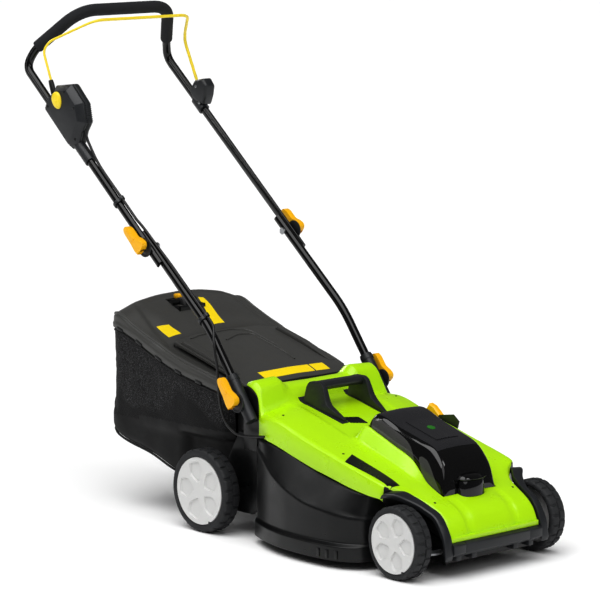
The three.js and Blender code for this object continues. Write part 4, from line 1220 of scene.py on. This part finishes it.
def switch_box():
    """Two halves screwed round the tube, with a bevelled face, ribs on the front edge and a sleeve below."""
    inner = faceted("inner half", BOX_OUTLINE, ((-188, 5), (-194, 0), (-205.6, 0)), TRIM, 1.2)
    low, high = (on_upper(764), -UPPER_Y, 764), (on_upper(800), -UPPER_Y, 800)
    sleeve = rod("sleeve", [low, high], 13, TRIM, 28, 1.2)
    boot_path = [(-506, -207, 905), (-513, -207, 925), (-517, -206.8, 934)]
    boot = rod("boot", boot_path, [6.2, 6.0, 5.2], DECK_BLACK, 20, 0.8)
    back = [(-532, 872), (-522, 862), (-508, 878), (-520, 896)]
    clip = plate("clip", back, -213, -196, TRIM, 1.5)
    fitted(merge("switch_box", inner, sleeve, boot, clip), "upper_handle", "switch_box")
    outer = faceted("outer half", BOX_OUTLINE, ((-206, 0), (-212, 0), (-226, 14)), TRIM, 1.4)
    parts = [outer]
    top, bottom = np.array(BOX_OUTLINE[5], float), np.array(BOX_OUTLINE[6], float)
    out = np.array([top[1] - bottom[1], bottom[0] - top[0]]) / np.linalg.norm(bottom - top)
    for k in range(1, 10):
        x, z = top + (bottom - top) * k / 10 - out * 0.3
        parts.append(rod("rib", [(x, -191, z), (x, -211, z)], 0.9, TRIM, 10, 0.3))
    for x, y, z in ((-416, -221.5, 812), (-412, -226.2, 880), (-446, -226.2, 914), (-505, -226.2, 878)):
        parts.append(screw("screw", x, y, z, 3.2, RIGHT, DARK_FILM_AND_SHADE))
    fitted(merge("switch_box_lid", *parts), "upper_handle", "switch_box_lid")


def lock_button():
    """The egg-shaped button that frees the bail."""
    half_width, half_height, swell, tilt = 15.5, 19.6, 0.14, -0.4
    face, stem, bulge = -226, 8.0, 6.5
    rings = []
    steps, rows = 48, 12
    for i in range(rows + 1):
        t = i / rows
        rise = bulge * math.sin(t * math.pi / 2) ** 0.8 if t else -stem
        size = math.cos(t * math.pi / 2) ** 0.6 if t < 1 else 0.0
        ring = []
        for k in range(steps):
            a = 2 * math.pi * k / steps
            across = half_width * size * math.cos(a) * (1 + swell * math.sin(a))
            up = half_height * size * math.sin(a)
            x = across * math.cos(tilt) + up * math.sin(tilt)
            z = -across * math.sin(tilt) + up * math.cos(tilt)
            ring.append((BUTTON[0] + x, face - rise, BUTTON[1] + z))
        rings.append(ring)
    dome = skin("dome", rings, LEMON, around=True, crease=40)
    fitted(merge("lock_button", dome), "unlock_button", "lock_button")


def bail():
    """The squeeze bar: a coated rod, thin on the right and thicker along the top and down the left side."""
    half = [(-506, 207, 912), (-545, 205, 998), (-534, 196, 1019), (-448, 134, 1067)]
    right = [(x, -y, z) for x, y, z in half]
    path = stepped(eased(right + half[::-1], [12, 12, 26, 26, 12, 12], 8), 8)
    kept = [path[0]]
    for p in path[1:]:
        if np.linalg.norm(p - kept[-1]) > 0.3:
            kept.append(p)
    radii = []
    for p in kept:
        share = min(max((p[1] + 150) / 40, 0.0), 1.0)
        radii.append(2.6 + 0.8 * share * share * (3 - 2 * share))
    fitted(merge("bail_bar", rod("bar", kept, radii, LEMON, 16, 0.6)), "bail", "bail_bar")


def bail_bracket():
    """The bail's left bearing: a block on the tube with two screws and a clamp below it."""
    outline = ((-517, 888), (-498, 912), (-468, 918), (-455, 903), (-458, 880), (-468, 858), (-500, 866))
    block = faceted("block", outline, ((190, 5), (195, 0), (216, 0), (222, 6)), TRIM, 1.6)
    band_low, band_high = (on_upper(846), UPPER_Y, 846), (on_upper(868), UPPER_Y, 868)
    band = rod("band", [band_low, band_high], 13.2, TRIM, 28, 1.2)
    screws = []
    for face, way in ((189.8, RIGHT), (222.2, LEFT)):
        for x, z in ((-490, 899), (-478, 862)):
            screws.append(screw("screw", x, face, z, 3.4, way, ZINC))
    fitted(merge("bail_bracket", block, band, *screws), "upper_handle", "bail_bracket")


switch_box()
lock_button()
bail()
bail_bracket()


# ------------------------------------------------------------------ control lead

LEAD_RADIUS = 3.0
LEAD_ON_HANDLE = ((-404, -204, 838), (-394, -204, 817), (-384, -204, 800), (-348, -204, 756),
                  (-273.5, -204, 693), (-225, -203.5, 651.4))
LEAD_ON_TUBE = ((-225, -203.5, 651.4), (-205, -199.5, 634), (-172.7, -197.5, 606.6), (-118, -196, 563))
LEAD_TO_DECK = ((-118, -196, 563), (-20, -194, 479.6), (14, -194, 451), (24, -198, 438), (33, -206, 422),
                (40, -210, 405), (44, -211, 385), (48, -210, 366), (50, -209, 330), (54, -207, 286),
                (68, -204, 248), (96, -203, 228), (132, -203, 226), (170, -202, 230), (186, -199, 232))


def curve_through(points, step=6):
    """A smooth run of points through the given ones."""
    pts = [np.array(p, float) for p in points]
    pts = [2 * pts[0] - pts[1]] + pts + [2 * pts[-1] - pts[-2]]
    made = []
    for a, b, c, d in zip(pts, pts[1:], pts[2:], pts[3:]):
        count = max(int(np.linalg.norm(c - b) / step), 1)
        for k in range(count):
            t = k / count
            made.append(0.5 * (2 * b + (c - a) * t + (2 * a - 5 * b + 4 * c - d) * t**2
                               + (3 * b - a - 3 * c + d) * t**3))
    return made + [pts[-2]]


def lead(name, points):
    """One length of the control lead."""
    return merge(name, rod("run", curve_through(points), LEAD_RADIUS, SHEATH, 14, 0.6))


def cable_clip(name, place, slope, owner, node_name):
    """A moulded double ring: one loop round the tube, a smaller one round the lead."""
    run = Vector((slope, 0, 1)).normalized()
    across = Vector((run.z, 0, -run.x))
    centre = Vector(place)
    big = turned("loop", [(9.7, -4), (12.7, -4), (12.9, -3.4), (12.9, 3.4), (12.7, 4), (9.7, 4), (9.7, -4)],
                 centre, TRIM, 32, run)
    small = turned("loop", [(3.1, -4), (5.9, -4), (6, -3.6), (6, 3.6), (5.9, 4), (3.1, 4), (3.1, -4)],
                   centre + across * 14.5, TRIM, 24, run)
    fitted(merge(name, big, small), owner, node_name)


def leads():
    """The control lead, clipped along the tubes. The real lead flexes where the handle folds; here its two
    lower lengths are fixed where they lie and put on no body.
    """
    upper = lead("lead_on_handle", LEAD_ON_HANDLE)
    fitted(upper, "upper_handle", "lead_upper")
    middle = lead("lead_on_tube", LEAD_ON_TUBE)
    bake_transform(middle)
    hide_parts("lead_lower")
    low = lead("lead_to_deck", LEAD_TO_DECK)
    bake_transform(low)
    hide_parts("lead_deck")
    on_handle, on_tube = (on_upper(681.5), -UPPER_Y, 681.5), (on_lower(455), -LOWER_Y, 455)
    cable_clip("clip_upper", on_handle, UPPER_SLOPE, "upper_handle", "cable_clip_upper")
    cable_clip("clip_lower", on_tube, LOWER_SLOPE, "lower_handle", "cable_clip_lower")


leads()


# ------------------------------------------------------------------ grass box

# x, seam height, edge height, middle height
LID = (
    (-354, 400, 414, 428), (-347, 400, 428, 455), (-325, 399, 432, 463), (-270, 385, 412, 450),
    (-220, 365, 393, 422), (-176, 348, 378, 398), (-168, 345, 374, 384), (-100, 325, 354, 366),
    (-25, 310, 337, 344), (30, 298, 322, 328), (72, 290, 308, 312),
)
# x, half width
LID_HALF = ((-354, 158), (-347, 173), (-325, 182), (-270, 184), (-90, 183), (30, 176), (72, 156))
LID_LABELS = (
    ((-236, -141), (-226, -114), (-188, -110), (-192, -142)),
    ((-291, 25), (-286, 37), (-193, 19), (-192, -16)),
)
# x, half width low, half width high, bottom height
BAG = (
    (-351, 164, 157, 186), (-344, 177, 171, 166), (-318, 182, 180, 152), (-220, 177, 181, 128),
    (-130, 170, 181, 98), (-98, 146, 181, 94), (-40, 144, 178, 90), (20, 142, 172, 88), (36, 142, 150, 88),
)


COATED_TO = 215                    # the coated cloth reaches up to here, and a little less at the rear
COATED_TO_AT_REAR = 205
POCKET = (-306, -254, -58, 10)     # rear, front, right and left of the lid's finger pocket
POCKET_WALL = 3
CLIP_SPACING = 66


def lid_half(x):
    """The lid's section from its seam, over the clipped rim, up to the middle."""
    seam, edge, middle = flow(LID, x)
    half = float(flow(LID_HALF, x)[0])
    rise = middle - edge
    return eased([
        (half, seam), (half + 1.2, seam + 9), (half - 1.5, seam + 11), (half - 2, edge - 5), (half - 8, edge),
        (half * 0.66, edge + rise * 0.62), (half * 0.33, edge + rise * 0.92), (0, middle),
    ], [1.5, 1.5, 1.5, 5, 14, 18], 4)


def lid_sink(x, y):
    """The lid's top lies a little below its rim, and dips towards the grip."""
    half = float(flow(LID_HALF, x)[0])
    rim = 16 + 28 * min(max((-180 - x) / 130, 0.0), 1.0)
    edge = min(max((half - rim - abs(y)) / 6, 0.0), 1.0) * min(max((x + 322) / 8, 0.0), 1.0)
    soft = edge * edge * (3 - 2 * edge)
    hollow = math.exp(-(((x + 276) / 34) ** 2) - (((y + 26) / 52) ** 2))
    return 4.5 * soft + 4.5 * hollow


def lid_ring(x):
    """The whole section of the lid, its top let down inside the rim."""
    return [(x, y, z - lid_sink(x, y)) for y, z in mirrored(stepped(lid_half(x), 5))]


def lid_height(x, y):
    """Height of the lid's top over a place."""
    half = lid_half(x)
    ys, zs = [p[0] for p in half][::-1], [p[1] for p in half][::-1]
    return float(np.interp(abs(y), ys, zs)) - lid_sink(x, y)


def bag_lid():
    """The hard lid: rolled rim with clip slots, sunk top with a finger pocket, and the mouth's frame."""
    rings = [lid_ring(x) for x in spread_out(LID, 5)]
    most = max(len(ring) for ring in rings)
    shell = skin("lid", [evenly(ring, most) for ring in rings], CHARCOAL, crease=50)
    parts = [thicken(shell, 3.0)]
    rear_ring = lid_ring(LID[0][0])
    inner_ring = [(x + 3, y * 0.98, z - 1) for x, y, z in rear_ring]
    parts.append(skin("back", [rear_ring, inner_ring], CHARCOAL, around=True, caps=True))
    carve(parts[0], box("pocket", *POCKET, 441, 520, CHARCOAL))
    rear, front, right, left = POCKET
    back, ahead, near_right, near_left = (rear - POCKET_WALL, front + POCKET_WALL, right - POCKET_WALL,
                                          left + POCKET_WALL)
    parts.append(box("pocket floor", back, ahead, near_right, near_left, 424, 428, DECK_BLACK, 0.8))
    for sides in ((back, rear, near_right, near_left), (front, ahead, near_right, near_left),
                  (back, ahead, near_right, right), (back, ahead, left, near_left)):
        parts.append(box("pocket wall", *sides, 425, 443, DECK_BLACK, 0.5))
    parts.append(rod("grip", [(-284, -59, 448), (-284, 11, 448)], 6.5, DECK_BLACK, 24, 1.5))
    knob = [(0, 7), (13, 6), (15, 3), (15, -16), (0, -16)]
    parts.append(turned("knob", knob, (-284, -25, 450), DECK_BLACK, 40, (-0.2, 0, 1)))
    parts.append(box("tip", -304, -284, -36, -16, 452, 463, AMBER, 3))
    for side in (RIGHT, LEFT):
        edge = []
        for x in spread_out([s for s in LID if s[0] <= 30], 10):
            half = float(flow(LID_HALF, x)[0])
            edge.append((x, side * (half - 7), flow(LID, x)[1] - 0.5))
        parts.append(rod("rim bead", edge, 3.4, CHARCOAL, 12, 1))
        for x in range(-310, 20, CLIP_SPACING):
            seam = float(flow(LID, x)[0])
            half = float(flow(LID_HALF, x)[0])
            low, high = sorted((side * (half - 2), side * (half + 1.9)))
            lean = 10 * (float(flow(LID, x + 9)[0]) - float(flow(LID, x - 9)[0])) / 18
            tab = [(x - 10, seam - 3 - lean), (x + 10, seam - 3 + lean), (x + 10, seam + 4 + lean),
                   (x - 10, seam + 4 - lean)]
            parts.append(plate("clip", tab, low, high, DECK_BLACK, 0.8))
    for corners in LID_LABELS:
        parts.append(laid_on("label", lid_height, corners, YELLOW_FILM, 0.5, 0.8))
    outer = [(-146, 80), (146, 80), (146, 291), (-146, 291)]
    inner = [(-134, 92), (134, 92), (134, 282), (-134, 282)]
    frame_outer = [[(x, y, z) for y, z in outer] for x in (40, 134)]
    mouth = skin("mouth", frame_outer, DECK_BLACK, around=True, caps=True)
    hole_rings = [[(x, y, z) for y, z in inner] for x in (20, 150)]
    carve(mouth, skin("hole", hole_rings, DECK_BLACK, around=True, caps=True))
    rounded_off(mouth, 1.2)
    body = merge("bag_lid", *parts, mouth)
    fitted(body, "grass_box", "bag_lid")


def bag_sag(x, y, z, top, bottom, outward):
    """Wrinkles and slack in the cloth: soft folds hanging from the seam, fading at the sewn edges."""
    share = min(max((z - bottom) / max(top - bottom, 1), 0.0), 1.0)
    loose = math.sin(math.pi * min(share * 1.02, 1.0)) ** 0.6 if share > 0 else 0.0
    broad = noise.noise(Vector((x / 75, z / 95, y / 160)))
    folds = noise.noise(Vector((x / 26 + z / 60, z / 48, 3.7 + y / 200)))
    upper = min(max((z - 235) / 60, 0.0), 1.0)
    crumple = noise.noise(Vector((x / 9, z / 10, 9.1 + y / 50)))
    return loose * (2.6 * broad + 0.7 * folds + upper * 1.9 * crumple - 2.2) * outward


def bag_ring(x):
    """The cloth's section: up the left side, under the bottom and up the right side, with its slack."""
    low, high, bottom = flow(BAG, x)
    seam = float(flow(LID, x)[0])
    shelf = max(bottom + 60, 200)
    half = eased([
        (0, bottom), (low - 16, bottom), (low, bottom + 14), (low, shelf - 14), (high, shelf),
        (high, seam - 20), (high, seam - 0.5),
    ], [14, 8, 10, 10, 10], 4)
    right, left = [], []
    for y, z in evenly(stepped(half, 4), 110):
        on_side = 1 if y > low - 22 else 0
        sag = bag_sag(x, -y, z, seam, bottom, on_side)
        right.append((x, -(y + sag), z))
        sag = bag_sag(x + 400, y, z, seam, bottom, on_side)
        left.append((x, y + sag, z))
    return right[::-1] + left[1:]


def grass_bag():
    """The cloth bag, slack between its frame: mesh above, coated cloth below, piped edges."""
    rings = [bag_ring(x) for x in spread_out(BAG, 4)]
    shell = skin("bag", rings, MESH, crease=75)
    shell.data.materials.append(CLOTH)
    for face in shell.data.polygons:
        x, z = face.center.x / MM + MIDDLE_X, face.center.z / MM
        coated = z < (COATED_TO if x > -250 else COATED_TO_AT_REAR)
        face.material_index = 1 if coated else 0
    thicken(shell, 1.4)
    rear_ring = rings[0]
    panel_rows = []
    middle_z = sum(p[2] for p in rear_ring) / len(rear_ring)
    for k in range(9):
        share = 1 - k / 8
        row = []
        for x, y, z in rear_ring:
            slack = 2.5 * math.sin(math.pi * share) * noise.noise(Vector((y / 60, z / 70, 1.3)))
            proud = 1.5 + 3.5 * math.cos(math.pi * share / 2) + slack
            row.append((x - proud, y * share, middle_z + (z - middle_z) * share))
        panel_rows.append(row)
    closed = [row + [row[0]] for row in panel_rows]
    back = skin("back panel", closed, MESH, crease=75)
    parts = [shell, thicken(back, 1.2)]
    edge = [(x - 1, y, z) for x, y, z in rear_ring]
    parts.append(rod("rear piping", edge[2:-2], 3.0, CLOTH, 10, 0.5))
    for side in (RIGHT, LEFT):
        low_edge = []
        for x in spread_out(BAG, 10):
            low, _, bottom = flow(BAG, x)
            low_edge.append((x, side * (low - 6), bottom + 5))
        parts.append(rod("lower piping", low_edge, 2.6, CLOTH, 10, 0.5))
        seam_edge = []
        for x in spread_out([b for b in BAG if b[0] <= 20], 10):
            seam_edge.append((x, side * (float(flow(BAG, x)[1]) + 0.3), float(flow(LID, x)[0]) - 7))
        parts.append(rod("hem", seam_edge, 2.0, CLOTH, 10, 0.5))
    body = merge("bag_fabric", *parts)
    fitted(body, "grass_box", "bag_fabric")


bag_lid()
grass_bag()


# ------------------------------------------------------------------ rear flap

# x, middle height, edge height
FLAP = ((-165, 396, 385), (-120, 384, 374), (-60, 367, 359), (-4, 350, 343), (45, 336, 331), (80, 321, 318))
FLAP_HALF = 150
FLAP_PIVOT = (88, 315)
# X, Y corners of the raised lines round the flap's trough
FLAP_RIBS = (
    ((-153, -112), (-172, -44), (-170, 0), (-146, 50), (-62, 56), (8, 46)),
    ((-116, -42), (-133, 5), (-128, 44), (-104, 44), (-16, 50)),
)
FLAP_RIB_REAR = -160


def flap_height(x, y):
    """Height of the flap's upper face over a place."""
    middle, edge = flow(FLAP, x)
    return float(np.interp(abs(y), [0, 90, FLAP_HALF], [middle, middle - 2, edge]))


def rear_flap():
    """The spring flap over the chute: a shallow plate with raised ribs, turned-down edges and a barrel."""
    rings = []
    for x in spread_out(FLAP, 6):
        flat = list(np.linspace(-FLAP_HALF + 3, FLAP_HALF - 3, 49))
        across = [-FLAP_HALF, -FLAP_HALF] + flat + [FLAP_HALF, FLAP_HALF]
        row = []
        for i, y in enumerate(across):
            drop = 6.5 if i in (0, len(across) - 1) else (1.2 if i in (1, len(across) - 2) else 0)
            row.append((x, y, flap_height(x, y) - drop))
        rings.append(row)
    lip = [(x - 1.5, y, z - 6) for x, y, z in rings[0]]
    shell = skin("flap", [lip] + rings, CHARCOAL, crease=40)
    parts = [thicken(shell, 3.5)]
    for rib in FLAP_RIBS:
        path = [(max(x, FLAP_RIB_REAR), y) for x, y in eased(rib, 14, 5)]
        raised = stepped([(x, y, flap_height(x, y) + 0.2) for x, y in path], 8)
        line = [(x, y, flap_height(x, y) + 0.2) for x, y, _ in raised]
        parts.append(rod("rib", line, 2.4, CHARCOAL, 10, 0.8))
    for side in (RIGHT, LEFT):
        wedge = [(-150, 0), (30, 0), (30, 2), (-60, 9), (-140, 9)]
        rows = []
        for y in (side * 128, side * 147):
            rows.append([(x, y, flap_height(x, y) + z - 1) for x, z in wedge])
        parts.append(rounded_off(skin("raised side", rows, CHARCOAL, around=True, caps=True), 2.0))
    for a, b in ((-89, 54), (58, 98)):
        corners = ((40, a), (40, b), (66, b), (66, a))
        parts.append(laid_on("strip", flap_height, corners, YELLOW_FILM, 0.5, 0.8))
    sleeve = [(4, -148), (6.6, -148), (7, -147.4), (7, 147.4), (6.6, 148), (4, 148), (4, -148)]
    barrel = turned("barrel", sleeve, (FLAP_PIVOT[0], 0, FLAP_PIVOT[1]), DECK_BLACK, 32)
    fitted(merge("rear_flap", *parts, barrel), "flap", "rear_flap")


rear_flap()


# ------------------------------------------------------------------ pieces kept from the frame

KEPT = {
    "motor": ALLOY, "blade": ZINC, "blade_carrier": ALLOY, "front_axle": ZINC, "rear_axle": ZINC,
    "battery_tray": TRIM, "battery_pack": BATTERY, "safety_key": RED, "flap_rod": ZINC, "height_lever": ZINC,
    "height_quadrant": TRIM, "height_knob": AMBER,
}
BEVELS = {"motor": 1.5, "battery_tray": 0.8, "battery_pack": 1.0, "safety_key": 0.8, "height_lever": 0.8,
          "height_knob": 2.5, "blade": 0.4}


def finish_kept():
    """The small and hidden pieces keep the frame's own shapes, with a real finish and softened edges."""
    kept = dict(KEPT)
    for level in ("lower", "upper"):
        for side_name, _ in SIDES:
            kept[f"{level}_bolt_{side_name}"] = ZINC
    for name, finish in kept.items():
        body = bpy.data.objects[name]
        body.data.materials.clear()
        body.data.materials.append(finish)
        if name in BEVELS:
            edges = body.modifiers.new("edges", "BEVEL")
            edges.width = BEVELS[name] * MM
            edges.segments = 2
            edges.limit_method = "ANGLE"


finish_kept()


# ------------------------------------------------------------------ studio

TARGET = (77.16, 0, 488.08)
AZIMUTH, ELEVATION, ROLL = math.radians(47.95), math.radians(8.82), math.radians(-0.07)
DISTANCE = 6804.8
LENS, SENSOR = 190.59, 36.0
ROOM_LIGHT = 0.16
CONTRAST = 0.8                      # below one the tones between black and white are drawn darker


def camera():
    """Stands where the mower is seen from its front right, a little above its deck."""
    data = bpy.data.cameras.new("camera")
    data.lens = LENS
    data.sensor_width = SENSOR
    data.clip_end = 50
    eye = bpy.data.objects.new("camera", data)
    bpy.context.scene.collection.objects.link(eye)
    away = Vector((math.sin(AZIMUTH) * math.cos(ELEVATION), -math.cos(AZIMUTH) * math.cos(ELEVATION),
                   math.sin(ELEVATION)))
    target = at(*TARGET)
    eye.location = target + away * DISTANCE * MM
    eye.rotation_mode = "QUATERNION"
    eye.rotation_quaternion = away.to_track_quat("Z", "Y") @ Matrix.Rotation(ROLL, 4, "Z").to_quaternion()
    bpy.context.scene.camera = eye


def aimed(lamp, azimuth, elevation, distance=3.4):
    """Stands a light off from the mower's middle and turns it that way."""
    a, e = math.radians(azimuth), math.radians(elevation)
    away = Vector((math.sin(a) * math.cos(e), -math.cos(a) * math.cos(e), math.sin(e)))
    lamp.location = Vector((0, 0, 0.45)) + away * distance
    lamp.rotation_mode = "QUATERNION"
    lamp.rotation_quaternion = away.to_track_quat("Z", "Y")


def bank(name, azimuth, elevation, spread, strength):
    """A far bank of soft light: spread is the angle it fills, so its shadows are wide and pale."""
    data = bpy.data.lights.new(name, "SUN")
    data.angle = math.radians(spread)
    data.energy = strength
    lamp = bpy.data.objects.new(name, data)
    bpy.context.scene.collection.objects.link(lamp)
    aimed(lamp, azimuth, elevation)


def softbox(name, azimuth, elevation, width, height, power):
    """A near soft box, for the long highlights on glossy pieces."""
    data = bpy.data.lights.new(name, "AREA")
    data.shape = "RECTANGLE"
    data.size, data.size_y = width, height
    data.energy = power
    lamp = bpy.data.objects.new(name, data)
    bpy.context.scene.collection.objects.link(lamp)
    aimed(lamp, azimuth, elevation)


def studio():
    """A plain white sweep under wide banks of light, with two soft boxes for highlights."""
    paper = surface("white paper floor", 0xFFFFFF, Roughness=0.95)[0]
    reach = 60.0
    mesh = bpy.data.meshes.new("floor")
    mesh.from_pydata([(-reach, -reach, 0), (reach, -reach, 0), (reach, reach, 0), (-reach, reach, 0)], [],
                     [(0, 1, 2, 3)])
    mesh.materials.append(paper)
    floor = bpy.data.objects.new("floor", mesh)
    bpy.context.scene.collection.objects.link(floor)
    world = bpy.data.worlds.new("studio")
    world.use_nodes = True
    background = world.node_tree.nodes["Background"]
    background.inputs["Color"].default_value = (1, 1, 1, 1)
    background.inputs["Strength"].default_value = ROOM_LIGHT
    bpy.context.scene.world = world
    bank("overhead", 20, 68, 60, 2.55)
    bank("front", 75, 35, 40, 0.55)
    bank("rear", -100, 24, 14, 0.4)
    softbox("right", -35, 35, 0.25, 2.2, 10)
    softbox("nose", 110, 40, 0.8, 0.8, 10)
    bpy.context.scene.view_settings.view_transform = "Standard"
    bpy.context.scene.view_settings.look = "None"
    bpy.context.scene.view_settings.gamma = CONTRAST


camera()
studio()
